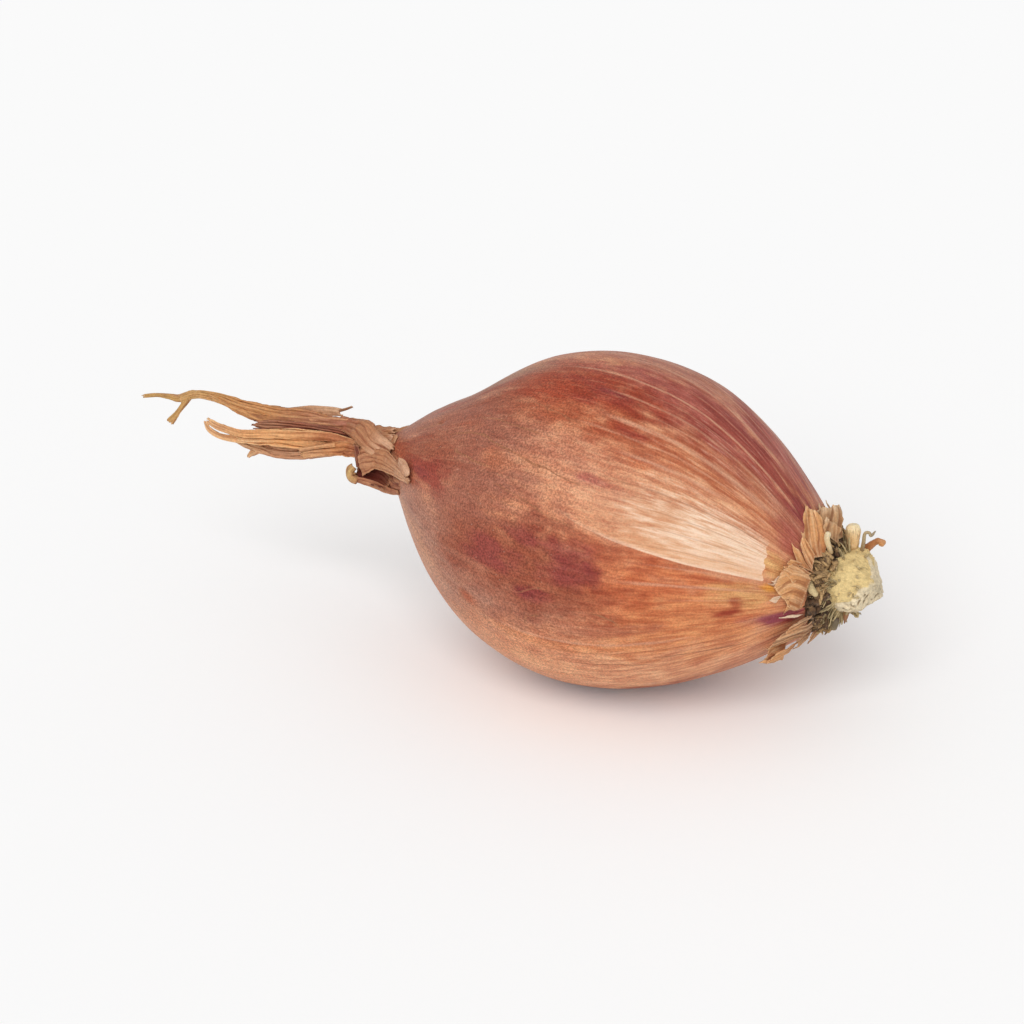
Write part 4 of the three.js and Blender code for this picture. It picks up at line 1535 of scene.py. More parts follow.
    def wraps(self) -> tuple[PaperPiece, ...]:
        """The torn skin that wraps the neck: band, front fold, pouch and tag."""
        band = (
            (-9.6, 2.4, 1.8, 1.8),
            (-7.6, 0.8, 2.3, 2.4),
            (-5.8, -0.9, 2.9, 3.0),
            (-4.4, -2.1, 3.2, 3.5),
            (-2.7, -2.9, 2.5, 3.4),
            (-0.9, -3.6, 2.0, 3.0),
            (0.9, -4.4, 1.6, 2.4),
        )
        lower = (
            (-3.9, -4.0, -0.3, 4.2),
            (-2.7, -4.2, 0.2, 3.7),
            (-1.3, -4.4, 0.6, 2.9),
            (0.2, -5.0, 0.8, 2.8),
            (2.1, -6.4, 0.8, 2.1),
            (4.3, -8.5, 1.1, 1.4),
            (6.4, -10.6, 1.2, 0.5),
        )
        cheek = ((-4.6, -3.4, 1.6, 1.5), (-4.3, -3.6, 0.1, 1.3), (-4.1, -3.8, -1.5, 0.7))
        wall = ((0.5, -4.6, -2.2, 2.8), (2.0, -5.9, -2.0, 2.5), (3.9, -7.5, -1.3, 1.5))
        cap = ((3.5, -7.5, 2.5, 0.9), (4.6, -8.7, 2.5, 1.5), (5.5, -9.6, 2.2, 1.3), (6.1, -10.3, 1.8, 0.7))
        hollow = ((-4.5, -3.2, -2.4, 1.8), (-2.8, -3.5, -2.4, 2.4), (-0.7, -4.2, -2.3, 2.6), (1.4, -5.6, -2.6, 1.8))
        rim = (
            (-4.4, -4.4, -3.1, 1.3),
            (-2.5, -4.7, -3.1, 1.3),
            (-0.6, -5.2, -3.2, 1.3),
            (1.4, -6.0, -3.1, 1.2),
            (3.5, -7.4, -2.4, 0.9),
        )
        nub = ((-4.6, -4.3, -1.1, 1.5), (-5.2, -4.6, -1.8, 2.3), (-5.0, -4.8, -2.7, 2.5), (-3.9, -4.7, -3.2, 1.7))
        tag = ((-2.6, -0.6, 2.4, 0.8), (-1.1, -0.8, 3.2, 1.0), (0.2, -1.0, 3.6, 0.8))
        crumple = ((-2.9, -1.6, 2.6, 1.2), (-1.0, -2.0, 2.8, 1.4), (0.5, -2.1, 3.1, 1.1))
        collar = Slot.COLLAR
        return (
            PaperPiece(
                "neck_band_strip",
                "neck_band",
                BAND,
                collar,
                (
                    Strip(band, face=(0.0, -0.8, 0.6), roll=30, pleats=3, fold=0.2, ripple=0.35, torn=0.06),
                    Strip(lower, face=(0.0, -0.9, 0.4), roll=25, pleats=5, fold=0.14, ripple=0.4, torn=0.02, rise=(0.3, 0.9)),
                    Strip(cap, face=(-0.35, -0.85, 0.4), roll=30, pleats=1, fold=0.1, torn=0.1, rise=(1.0, 1.0)),
                ),
            ),
            PaperPiece(
                "neck_pouch_fold",
                "neck_pouch",
                POUCH,
                collar,
                (
                    # The hollow strip lies in full painted shade: the dark inside of the pouch.
                    Strip(hollow, face=(0.1, -0.8, 0.6), roll=-40, pleats=2, fold=0.2, shade=0.95),
                    Strip(wall, face=(0.2, -0.9, 0.2), roll=25, pleats=2, fold=0.16, torn=0.05, shade=0.1, rise=(0.0, 0.3)),
                    Strip(cheek, face=(-0.5, -0.8, 0.1), roll=40, pleats=2, fold=0.16, torn=0.05, shade=0.45, rise=(0.0, 0.3)),
                    Strip(rim, face=(0.0, -0.9, -0.2), roll=65, pleats=1.5, fold=0.14, torn=0.02, rise=(0.0, 0.3)),
                    Strip(nub, face=(-0.4, -0.9, 0.1), roll=100, pleats=1, fold=0.1, torn=0.02, rise=(1.0, 0.75)),
                ),
            ),
            PaperPiece(
                "neck_tag_scrap",
                "neck_tag",
                BAND,
                collar,
                (
                    Strip(tag, face=(0.1, -0.7, 0.7), roll=70, pleats=1, fold=0.1, torn=0.12),
                    Strip(crumple, face=(0.1, -0.7, 0.7), roll=60, pleats=2, fold=0.2, torn=0.1),
                ),
            ),
        )

    def build_sleeve(self, effects: Effects) -> bpy.types.Object:
        """Makes the crumpled sleeve round the neck.

        Args:
            effects: The shared effects.

        Returns:
            The finished sleeve.
        """
        bm = new_form("crease_shade", "rim", "rise")
        tube = unit_tube(bm, 110, 60, capped=False)
        unit = read_vertices(tube)
        turn = np.arctan2(unit[:, 1], unit[:, 0])
        run = unit[:, 2]
        ring = np.stack([np.cos(turn), np.sin(turn), run * 7.0], axis=1)
        torn = np.abs(grain_at(ring * (3.0, 3.0, 0.0) + 4.0, 2))
        run = run * (1.0 - 0.3 * torn)
        path = Path(self.sleeve, self.origin, (0, -1, 0.2))
        points, radii, across, out = path.frames(run)
        swirl = turn + run * 1.8
        wander = 0.6 * grain_at(ring * (1.0, 1.0, 0.6), 2)
        folds = 0.2 * zigzag(swirl * 6 / math.tau + wander) + 0.07 * zigzag(swirl * 17 / math.tau + wander)
        folds += 0.25 * grain_at(ring * (1.5, 1.5, 0.5), 2)
        reach = radii + folds * smoothstep(0.0, 0.3, run)
        shift = across * (reach * np.cos(turn))[:, None] + out * (reach * np.sin(turn))[:, None]
        move_vertices(tube, points + shift)
        flat = np.stack([np.cos(swirl) * radii, np.sin(swirl) * radii, run * 8], axis=1)
        write_layer(bm, tube, "place", flat)
        # Painted shade down in the troughs of the folds.
        write_layer(bm, tube, "crease_shade", np.clip(0.45 - folds * 1.2, 0, 1))
        write_layer(bm, tube, "rim", smoothstep(0.85, 1.0, unit[:, 2]))
        write_layer(bm, tube, "rise", run)
        return finished(bm, "neck_sleeve", COLLAR.material(effects), ["neck_collar"], 0.16)

    def build(self, effects: Effects) -> list[bpy.types.Object]:
        """Makes the whole tuft.

        Args:
            effects: The shared effects.

        Returns:
            Its finished pieces.
        """
        made = [self.build_sleeve(effects)]
        for step, piece in enumerate((*self.leaves(), *self.wraps())):
            made.append(piece.build(self.origin, effects, self.seed + step))
        return made


# ---- The root end ----


def added_since(bm: bmesh.types.BMesh, count: int) -> list[bmesh.types.BMVert]:
    """The vertices that a mesh has gained since it had `count` of them."""
    bm.verts.ensure_lookup_table()
    return bm.verts[count:]


def unit_tube(bm: bmesh.types.BMesh, sides: int, rings: int, capped: bool) -> list:
    """Adds a round tube of radius 1 from z 0 to 1, ringed along its length.

    Args:
        bm: The mesh to add it to.
        sides: Faces round it.
        rings: Faces along it.
        capped: Whether its ends are closed.

    Returns:
        Its vertices.
    """
    count = len(bm.verts)
    bmesh.ops.create_cone(
        bm,
        cap_ends=capped,
        cap_tris=False,
        segments=sides,
        radius1=1.0,
        radius2=1.0,
        depth=1.0,
        matrix=Matrix.Translation((0, 0, 0.5)),
    )
    fresh = added_since(bm, count)
    long_edges = {edge for vert in fresh for edge in vert.link_edges}
    long_edges = [edge for edge in long_edges if abs(edge.verts[0].co.z - edge.verts[1].co.z) > 0.5]
    bmesh.ops.subdivide_edges(bm, edges=long_edges, cuts=rings - 1, use_grid_fill=False)
    return added_since(bm, count)


@dataclass(frozen=True)
class Rootlet:
    """A root, stub or fibre: a tapered tube along a line of stations with radii."""

    stations: Sequence[Station]
    sides: int = 14
    rings: int = 22
    lumps: float = 0.12
    round_tip: bool = True

    def add(self, bm: bmesh.types.BMesh, origin: Vector, seed: float) -> None:
        """Adds the root to a mesh.

        Args:
            bm: The mesh, in millimetres.
            origin: Where the stations' zero lies.
            seed: A number that makes its lumps its own.
        """
        verts = unit_tube(bm, self.sides, self.rings, capped=True)
        unit = read_vertices(verts)
        turn = np.arctan2(unit[:, 1], unit[:, 0])
        run = unit[:, 2]
        path = Path(self.stations, origin, (0.1, -1.0, 0.2))
        points, radii, across, out = path.frames(run)
        ring = np.stack([np.cos(turn), np.sin(turn), run * path.length()], axis=1)
        lumps = 1.0 + self.lumps * grain_at(ring * (1.6, 1.6, 1.4) + seed * 5.0, 2)
        tip = np.sqrt(np.clip(1.0 - ((run - 0.85) / 0.17).clip(0, 1) ** 2, 0.02, 1)) if self.round_tip else 1.0
        reach = radii * lumps * tip
        shift = across * (reach * np.cos(turn))[:, None] + out * (reach * np.sin(turn))[:, None]
        move_vertices(verts, points + shift)
        write_layer(bm, verts, "place", ring)
        write_layer(bm, verts, "rise", run)


@dataclass(frozen=True)
class RootPiece:
    """A piece made of one or more rootlets, and the CAD node that it stands for."""

    name: str
    node: str
    finish: RootFinish
    rootlets: tuple[Rootlet, ...]

    def build(self, origin: Vector, effects: Effects, seed: float) -> bpy.types.Object:
        """Makes the piece.

        Args:
            origin: Where its stations start from, in millimetres.
            effects: The shared effects.
            seed: A number that makes its lumps its own.

        Returns:
            The finished piece.
        """
        bm = new_form("rise")
        for step, rootlet in enumerate(self.rootlets):
            rootlet.add(bm, origin, seed + step)
        return finished(bm, self.name, self.finish.material(effects), [self.node])


AMBER_STUB = RootFinish("amber stub", (0.82, 0.55, 0.27), (0.88, 0.7, 0.42), (0.3, 0.15, 0.06), 0.35)
PALE_STUB = RootFinish("pale stub", (0.72, 0.54, 0.3), (0.82, 0.68, 0.44), (0.4, 0.26, 0.12), 0.45)
CURL = RootFinish("curled root", (0.48, 0.36, 0.2), (0.34, 0.26, 0.16), (0.3, 0.2, 0.1))
HOOK = RootFinish("hooked root", (0.5, 0.2, 0.075), (0.62, 0.3, 0.11), (0.32, 0.13, 0.05))
THORN = RootFinish("thorn", (0.3, 0.13, 0.055), (0.2, 0.08, 0.035), (0.4, 0.24, 0.11))
NUB = RootFinish("dark nub", (0.15, 0.11, 0.055), (0.24, 0.18, 0.09), (0.08, 0.05, 0.03))

FLAKE_TAN = PaperFinish(
    "tan flake", (0.66, 0.31, 0.12), (0.84, 0.54, 0.3), (0.33, 0.115, 0.04), (0.38, 0.135, 0.045), (0.73, 0.38, 0.16), 2.4, 0.3
)
FLAKE_STRAW = PaperFinish(
    "straw flake", (0.5, 0.26, 0.115), (0.68, 0.44, 0.24), (0.26, 0.11, 0.045), (0.26, 0.13, 0.055), (0.7, 0.5, 0.32), 2.4, 0.35
)
FLAKE_PALE = PaperFinish("pale flake", (0.74, 0.5, 0.33), (0.84, 0.68, 0.5), (0.45, 0.24, 0.14), None, None, 2.4, 0.2)
FLAKE_BROWN = PaperFinish(
    "brown flake", (0.54, 0.26, 0.115), (0.74, 0.46, 0.26), (0.12, 0.04, 0.016), (0.22, 0.09, 0.035), None, 2.4, 0.45
)


@dataclass(frozen=True)
class Flake:
    """A loose flake of skin on the root ring, where nothing but its turn and reach is known.

    Attributes:
        name: The name of its CAD node.
        finish: Its finish.
        turn: How far round it stands, in degrees from the top towards the front.
        reach: How far its tip lies back along the bulb, in millimetres.
        out: How far its tip is from the axis.
        width: Its width at the foot.
        tip: Its width at the tip, as a share of the foot's.
    """

    name: str
    finish: PaperFinish
    turn: float
    reach: float
    out: float
    width: float
    tip: float = 0.6

    def strip(self) -> Strip:
        """The flake as a strip on the bulb's root end."""
        angle = math.radians(self.turn)
        ray = (-math.sin(angle), math.cos(angle))

        def station(along: float, radius: float, width: float) -> Station:
            """One station on the flake's ray."""
            return (along, ray[0] * radius, ray[1] * radius, width)

        foot = 6.4
        middle = (foot + self.out) / 2 + 0.35
        stations = (
            station(1.5, foot - 1.0, self.width * 0.8),
            station(0.7, foot + 0.8, self.width * 1.1),
            station(0.3 - self.reach / 2, middle + 0.3, self.width * 1.15),
            station(-self.reach, self.out + 0.2, self.width * self.tip),
        )
        return torn_scale(stations, (0.6, *ray))


def torn_scale(
    stations: Sequence[Station], face: Triple, torn: float = 0.25, roll: float = 10.0, slant: float = 0.35
) -> Strip:
    """A flat, torn scale of skin.

    Args:
        stations: Its line and widths, from foot to tip.
        face: The direction that its broad side looks in.
        torn: The share of its length by which its tip is torn.
        roll: How far its long edges curl, in degrees.
        slant: The share of its length by which its ends lean over.

    Returns:
        The strip.
    """
    return Strip(
        stations, face, pleats=2.6, fold=0.09, roll=roll, torn=torn, slant=slant, nicks=0.34, rows=8.0, columns=28
    )


@dataclass
class RootEnd:
    """The stem plate with its ring of soil, its roots and the torn flakes of skin."""

    origin: Vector
    seed: int = 5

    def build_plate(self, effects: Effects) -> bpy.types.Object:
        """Makes the broken stump of the stem plate, its skirt of fibres and its ragged rim.

        Args:
            effects: The shared effects.

        Returns:
            The finished plate.
        """
        bm = new_form("upper", "crease_shade", "rise")
        profile = (
            (0.2, -0.1, -0.1, 4.6),
            (1.2, -0.1, -0.1, 4.3),
            (2.4, -0.2, 0.0, 4.1),
            (3.8, -0.3, 0.1, 4.1),
            (5.2, -0.2, 0.2, 4.1),
            (6.4, -0.2, 0.2, 4.1),
            (7.4, -0.2, 0.2, 3.5),
            (8.1, -0.3, 0.2, 2.4),
            (8.5, -0.4, 0.2, 1.2),
            (8.6, -0.5, 0.2, 0.05),
        )
        facets = (
            ((7.5, -0.8, 0.9), (0.9, 0.25, 0.36)),
            ((7.7, -1.2, 0.0), (0.86, -0.45, -0.24)),
            ((6.0, 0.0, 3.3), (0.5, -0.1, 0.86)),
            ((6.6, -1.0, -2.3), (0.62, -0.2, -0.76)),
            ((5.6, -3.4, 1.6), (0.35, -0.9, 0.25)),
            ((5.0, -2.4, -3.0), (0.1, -0.55, -0.83)),
        )
        verts = unit_tube(bm, 150, 110, capped=True)
        unit = read_vertices(verts)
        turn = np.arctan2(unit[:, 1], unit[:, 0])
        run = unit[:, 2]
        points, radii = Path(profile, self.origin, (0, -1.0, 0.0)).at(run)
        ray = np.stack([np.zeros(len(turn)), np.cos(turn), np.sin(turn)], axis=1)
        ring = ray.copy()
        ring[:, 0] = run * 5.0
        lobes = grain_at(ring * (0.5, 1.3, 1.3) + 2.0, 3)
        fibres = grain_at(ring * (0.35, 8.0, 8.0) + 8.0, 2)
        crumbs = grain_at((points + ray * radii[:, None]) * 1.6, 3)
        low = smoothstep(0.4, -0.5, np.sin(turn))
        end = smoothstep(0.5, 0.75, run)
        relief = 0.75 * lobes + (0.2 - 0.12 * end) * fibres + (0.16 + 0.32 * low) * crumbs
        relief += 0.9 * low * smoothstep(0.3, 0.0, run)
        reach = np.maximum(0.02, radii + relief * smoothstep(0.0, 1.5, radii))
        places = points + ray * reach[:, None]
        places[:, 0] += end * (0.3 * lobes + 0.1 * fibres + 0.3 * low * crumbs - 0.1)
        for point, way in facets:
            normal = np.array(Vector(way).normalized())
            past = (places - np.array(self.origin) - point) @ normal - 0.16 * crumbs
            places -= normal * (np.maximum(0.0, past) * 0.9)[:, None]
        move_vertices(verts, places)
        write_layer(bm, verts, "place", np.stack([ray[:, 1], ray[:, 2], run * 6.0], axis=1))
        yellow = smoothstep(0.74, 0.56, run + 0.2 * lobes) * smoothstep(-0.3, 0.35, np.sin(turn) + 0.8 * lobes)
        write_layer(bm, verts, "upper", yellow)
        # Painted shade: darker where the surface sinks, more so on the underside, and at the plate's foot.
        sunk_shade = 0.3 - relief * 0.5 - crumbs * 0.6 * (0.3 + low) + 0.4 * smoothstep(0.3, 0.0, run)
        write_layer(bm, verts, "crease_shade", np.clip(sunk_shade, 0, 1))
        for step, fibre in enumerate(self._plate_fibres()):
            count = len(bm.verts)
            fibre.add(bm, self.origin, float(count))
            fresh = added_since(bm, count)
            write_layer(bm, fresh, "upper", np.full(len(fresh), 0.55))
            write_layer(bm, fresh, "crease_shade", np.full(len(fresh), (0.3, 0.6, 0.8, 0.45, 0.55)[step % 5]))
        return finished(bm, "root_stump", StumpFinish().material(effects), ["root_plate"])

    def _plate_fibres(self) -> list[Rootlet]:
        """Short broken fibres on the plate's rim and in the skirt at its foot."""
        rng = random.Random(self.seed + 20)
        fibres = []
        for step in range(480):
            turn = math.radians(rng.uniform(0, 360) if step % 3 else rng.uniform(60, 150))
            ray = Vector((0.0, -math.sin(turn), math.cos(turn)))
            lean = Vector((0.0, ray.z, -ray.y)) * rng.uniform(-1.0, 1.0)
            if step % 8:
                foot = Vector((rng.uniform(0.8, 3.6), 0, 0)) + ray * 3.7
                way = ray * rng.uniform(0.9, 2.9) + Vector((rng.uniform(-1.8, 0.4), 0, 0)) + lean
            else:
                foot = Vector((rng.uniform(4.0, 5.8), 0, 0)) + ray * 3.7
                way = ray * rng.uniform(0.2, 0.6) + Vector((rng.uniform(-0.6, 0.9), 0, 0)) + lean * 0.5
            width = rng.uniform(0.06, 0.2)
            middle = foot + way * 0.5 + ray * rng.uniform(0.0, 0.4)
            stations = tuple((*at, size) for at, size in ((foot, width), (middle, width), (foot + way, width * 0.35)))
            fibres.append(Rootlet(stations, 4, 5, 0.3, round_tip=False))
        fibres.append(Rootlet(((0.0, -5.6, 2.6, 0.3), (0.5, -6.4, 1.6, 0.5), (1.4, -6.6, 0.6, 0.4)), 12, 18, 0.3))
        fibres.append(Rootlet(((0.2, -5.4, 3.2, 0.2), (0.2, -6.1, 2.4, 0.26), (0.7, -6.3, 1.6, 0.22)), 10, 16, 0.3))
        return fibres

    def build_crust(self, effects: Effects) -> bpy.types.Object:
        """Makes the lumpy ring of dry soil round the stump, with loose crumbs on it.

        Args:
            effects: The shared effects.

        Returns:
            The finished crust.
        """
        bm = new_form("straw")
        rng = random.Random(self.seed)
        section = bmesh.ops.create_circle(bm, segments=26, radius=1.0)["verts"]
        for vert in section:
            flat = vert.co.copy()
            vert.co = (0.9 + 1.2 * flat.x, 0.0, 4.6 + 1.4 * flat.y)
        bmesh.ops.spin(
            bm,
            geom=[*bm.verts, *bm.edges],
            cent=(0, 0, 0),
            axis=(1, 0, 0),
            angle=math.tau,
            steps=150,
            use_merge=True,
        )
        verts = list(bm.verts)
        places = read_vertices(verts)
        ray = places * (0.0, 1.0, 1.0)
        ray /= np.linalg.norm(ray, axis=1, keepdims=True)
        lumps = 0.7 * grain_at(places * 0.55, 3) + 0.35 * grain_at(places * 2.1, 2)
        away = places - ray * 4.6 - np.array([0.9, 0.0, 0.0])
        away /= np.linalg.norm(away, axis=1, keepdims=True)
        move_vertices(verts, places + away * lumps[:, None])
        for step in range(340):
            in_lump = step % 3 == 0
            turn = math.radians(rng.gauss(106, 11)) if in_lump else rng.uniform(0, math.tau)
            radius = rng.uniform(4.6, 7.0) if in_lump else rng.uniform(4.0, 6.0)
            along = rng.uniform(0.8, 2.6) - 0.35 * max(0.0, radius - 5.2) - 0.6 * in_lump
            spot = Vector((along, -math.sin(turn) * radius, math.cos(turn) * radius))
            size = rng.uniform(0.15, 0.6) if in_lump else rng.uniform(0.1, 0.42)
            made = bmesh.ops.create_icosphere(bm, subdivisions=2, radius=size)["verts"]
            rough = grain_at(read_vertices(made) * 4.0 + spot[:], 2)
            for vert, bulge in zip(made, rough.tolist()):
                vert.co = vert.co * (1 + 0.9 * bulge) + spot
        bmesh.ops.translate(bm, vec=self.origin, verts=bm.verts)
        verts = list(bm.verts)
        write_layer(bm, verts, "straw", self._bare(read_vertices(verts) - np.array(self.origin)))
        for step, fibre in enumerate(self._soil_fibres()):
            count = len(bm.verts)
            fibre.add(bm, self.origin, float(count))
            fresh = added_since(bm, count)
            write_layer(bm, fresh, "straw", np.full(len(fresh), (0.1, 0.9, 0.4, 1.0, 0.6)[step % 5]))
        return finished(bm, "root_soil", SoilFinish().material(effects), ["root_crust"])

    @staticmethod
    def _bare(places: np.ndarray) -> np.ndarray:
        """Where the soil has worn off the ring, from 0 to 1.

        Args:
            places: Places on it, from the root end, in millimetres.

        Returns:
            The shares.
        """
        turn = np.degrees(np.arctan2(-places[:, 1], places[:, 2])) % 360.0
        patch = grain_at(places * 0.7 + 5.0, 2)
        front = smoothstep(24.0, 12.0, np.abs(turn - 64.0) + 18.0 * patch)
        rear = smoothstep(0.05, 0.3, patch) * (turn > 150.0)
        return 0.9 * np.maximum(front, rear)

    def _soil_fibres(self) -> list[Rootlet]:
        """Brown and straw-coloured fibres that lie over the soil, thickest low on the front."""
        rng = random.Random(self.seed + 40)
        fibres = []
        for step in range(300):
            degrees = rng.uniform(0, 360) if step % 3 else rng.uniform(120, 165)
            if 88 < degrees < 122:
                degrees -= 45
            turn = math.radians(degrees)
            ray = Vector((0.0, -math.sin(turn), math.cos(turn)))
            lean = Vector((0.0, ray.z, -ray.y)) * rng.uniform(-1.4, 1.4)
            foot = Vector((rng.uniform(0.4, 2.4), 0, 0)) + ray * rng.uniform(5.2, 5.9)
            way = Vector((rng.uniform(-2.4, 0.4), 0, 0)) + ray * rng.uniform(0.3, 1.5) + lean
            width = rng.uniform(0.08, 0.3)
            middle = foot + way * 0.5 + ray * rng.uniform(0.1, 0.5)
            stations = tuple((*at, size) for at, size in ((foot, width), (middle, width), (foot + way, width * 0.4)))
            fibres.append(Rootlet(stations, 4, 5, 0.3, round_tip=False))
        return fibres

    def roots(self) -> tuple[RootPiece, ...]:
        """The roots and stubs that stand on the plate."""
        amber = ((3.5, 1.3, 3.6, 0.75), (3.6, 1.3, 5.0, 0.8), (3.55, 1.3, 6.4, 1.0), (3.5, 1.3, 7.5, 0.85))
        pale = ((2.0, -3.2, 5.2, 0.3), (1.7, -3.4, 6.3, 0.35), (1.4, -3.3, 7.2, 0.4), (1.5, -2.9, 8.0, 0.4))
        curl = (
            (4.7, 1.4, 3.2, 0.3),
            (5.0, 1.2, 5.2, 0.26),
            (5.1, 1.2, 6.5, 0.22),
            (5.6, 1.3, 6.7, 0.2),
            (5.9, 1.4, 6.3, 0.2),
            (6.4, 1.5, 7.0, 0.14),
        )
        hook = ((4.6, 2.7, 2.8, 0.6), (5.3, 2.6, 4.0, 0.5), (6.2, 2.4, 4.9, 0.4), (6.9, 2.2, 5.3, 0.42), (7.5, 2.1, 4.9, 0.5))
        thorn = ((4.3, -2.4, -2.9, 0.45), (4.2, -2.6, -3.9, 0.28), (4.1, -2.6, -4.7, 0.06))
        nub = ((3.3, -3.8, -3.4, 0.4), (3.2, -4.1, -4.2, 0.55), (3.0, -4.2, -5.0, 0.45))
        return (
            RootPiece("root_amber_stub", "root_stub_amber", AMBER_STUB, (Rootlet(amber, 24, 30),)),
            RootPiece("root_pale_stub", "root_stub_pale", PALE_STUB, (Rootlet(pale),)),
            RootPiece("root_curled", "root_curl", CURL, (Rootlet(curl, 10, 36),)),
            RootPiece("root_hooked", "root_hook", HOOK, (Rootlet(hook, 16, 36, 0.3),)),
            RootPiece("root_thorn_spur", "root_thorn", THORN, (Rootlet(thorn, round_tip=False),)),
            RootPiece("root_dark_nub", "root_nub", NUB, (Rootlet(nub),)),
        )

    def flakes(self) -> tuple[PaperPiece, ...]:
        """The flakes of skin round the ring."""
        top = ((1.6, -1.4, 5.6, 3.0), (1.1, -0.9, 7.4, 3.8), (0.8, -0.2, 9.0, 3.8), (0.5, 0.3, 10.4, 3.0))
        top_thin = ((1.7, -2.2, 6.0, 2.0), (1.5, -1.6, 7.8, 2.2), (1.2, -0.9, 9.4, 1.2))
        upper = ((0.9, -4.8, 4.9, 2.4), (0.2, -4.4, 6.6, 3.8), (-0.7, -2.8, 8.5, 3.2), (-1.8, -0.7, 10.4, 0.8))
        upper_two = ((0.8, -6.0, 4.2, 1.2), (0.1, -6.1, 5.8, 1.5), (-0.8, -5.8, 7.2, 1.1), (-1.7, -5.2, 8.6, 0.3))
        sliver = ((0.5, -6.7, 3.4, 1.1), (-0.6, -6.9, 5.0, 1.1), (-1.5, -6.9, 6.6, 0.8), (-2.1, -6.7, 7.8, 0.2))
        side = ((0.3, -7.2, 2.8, 2.0), (-0.8, -8.1, 4.0, 2.2), (-1.8, -8.9, 5.0, 1.6), (-2.7, -9.6, 5.6, 0.6))
        front = (
            (0.4, -7.3, 0.5, 3.0),
            (-0.3, -8.2, 1.4, 5.4),
            (-1.3, -9.1, 2.1, 5.4),
            (-2.0, -9.9, 2.0, 3.8),
            (-2.7, -10.6, 1.6, 2.3),
        )
        tip = ((-2.3, -10.4, 1.2, 0.9), (-2.9, -10.9, 1.4, 0.8), (-3.4, -11.4, 1.6, 0.4))
        side_two = ((-0.6, -7.4, 4.6, 1.2), (-1.7, -8.4, 5.2, 1.4), (-2.6, -9.2, 5.6, 1.0))
        yellow = ((-1.6, -8.9, 3.1, 1.4), (-2.7, -9.9, 3.5, 1.4), (-3.9, -11.0, 4.0, 0.8))
        pale = ((0.1, -8.0, -1.7, 0.35), (-1.2, -9.2, -1.5, 0.42), (-2.5, -10.5, -1.3, 0.15))
        long = (
            (1.2, -5.2, -4.2, 2.0),
            (0.3, -7.0, -4.6, 2.4),
            (-1.5, -8.7, -5.0, 2.2),
            (-2.9, -9.9, -5.5, 1.7),
            (-3.9, -10.6, -5.9, 0.9),
        )
        long_two = ((0.9, -6.4, -3.0, 1.6), (-0.7, -8.3, -3.4, 1.5), (-2.4, -9.8, -4.2, 0.9))
        bottom = (
            (-1.9, -6.2, -7.8, 2.5),
            (-2.7, -6.6, -8.1, 2.6),
            (-3.5, -7.0, -8.4, 2.3),
            (-4.4, -7.6, -8.9, 1.6),
            (-5.6, -8.1, -9.4, 0.7),
        )
        shaded_hole = ((-3.4, -7.4, -8.3, 0.5), (-4.0, -7.7, -8.6, 0.8), (-4.6, -8.0, -8.9, 0.4))
        bottom_two = ((-0.6, -5.4, -7.0, 1.6), (-2.6, -7.4, -8.0, 1.8), (-4.8, -8.8, -9.2, 1.0))
        chip = ((1.2, -3.0, -5.6, 1.6), (0.4, -3.4, -7.0, 2.2), (-0.4, -4.0, -7.9, 1.6))
        chip_two = ((0.6, -4.6, -5.6, 1.6), (-0.6, -5.8, -6.7, 1.8), (-1.8, -6.6, -7.8, 1.0))
        look = (0.72, -0.67, 0.13)

        def scale(name: str, finish: PaperFinish, *strips: Strip) -> PaperPiece:
            """One flake, which stands for the CAD node that it is named for."""
            return PaperPiece(f"{name}_paper", name, finish, Slot.FLAKE, strips, 0.1)

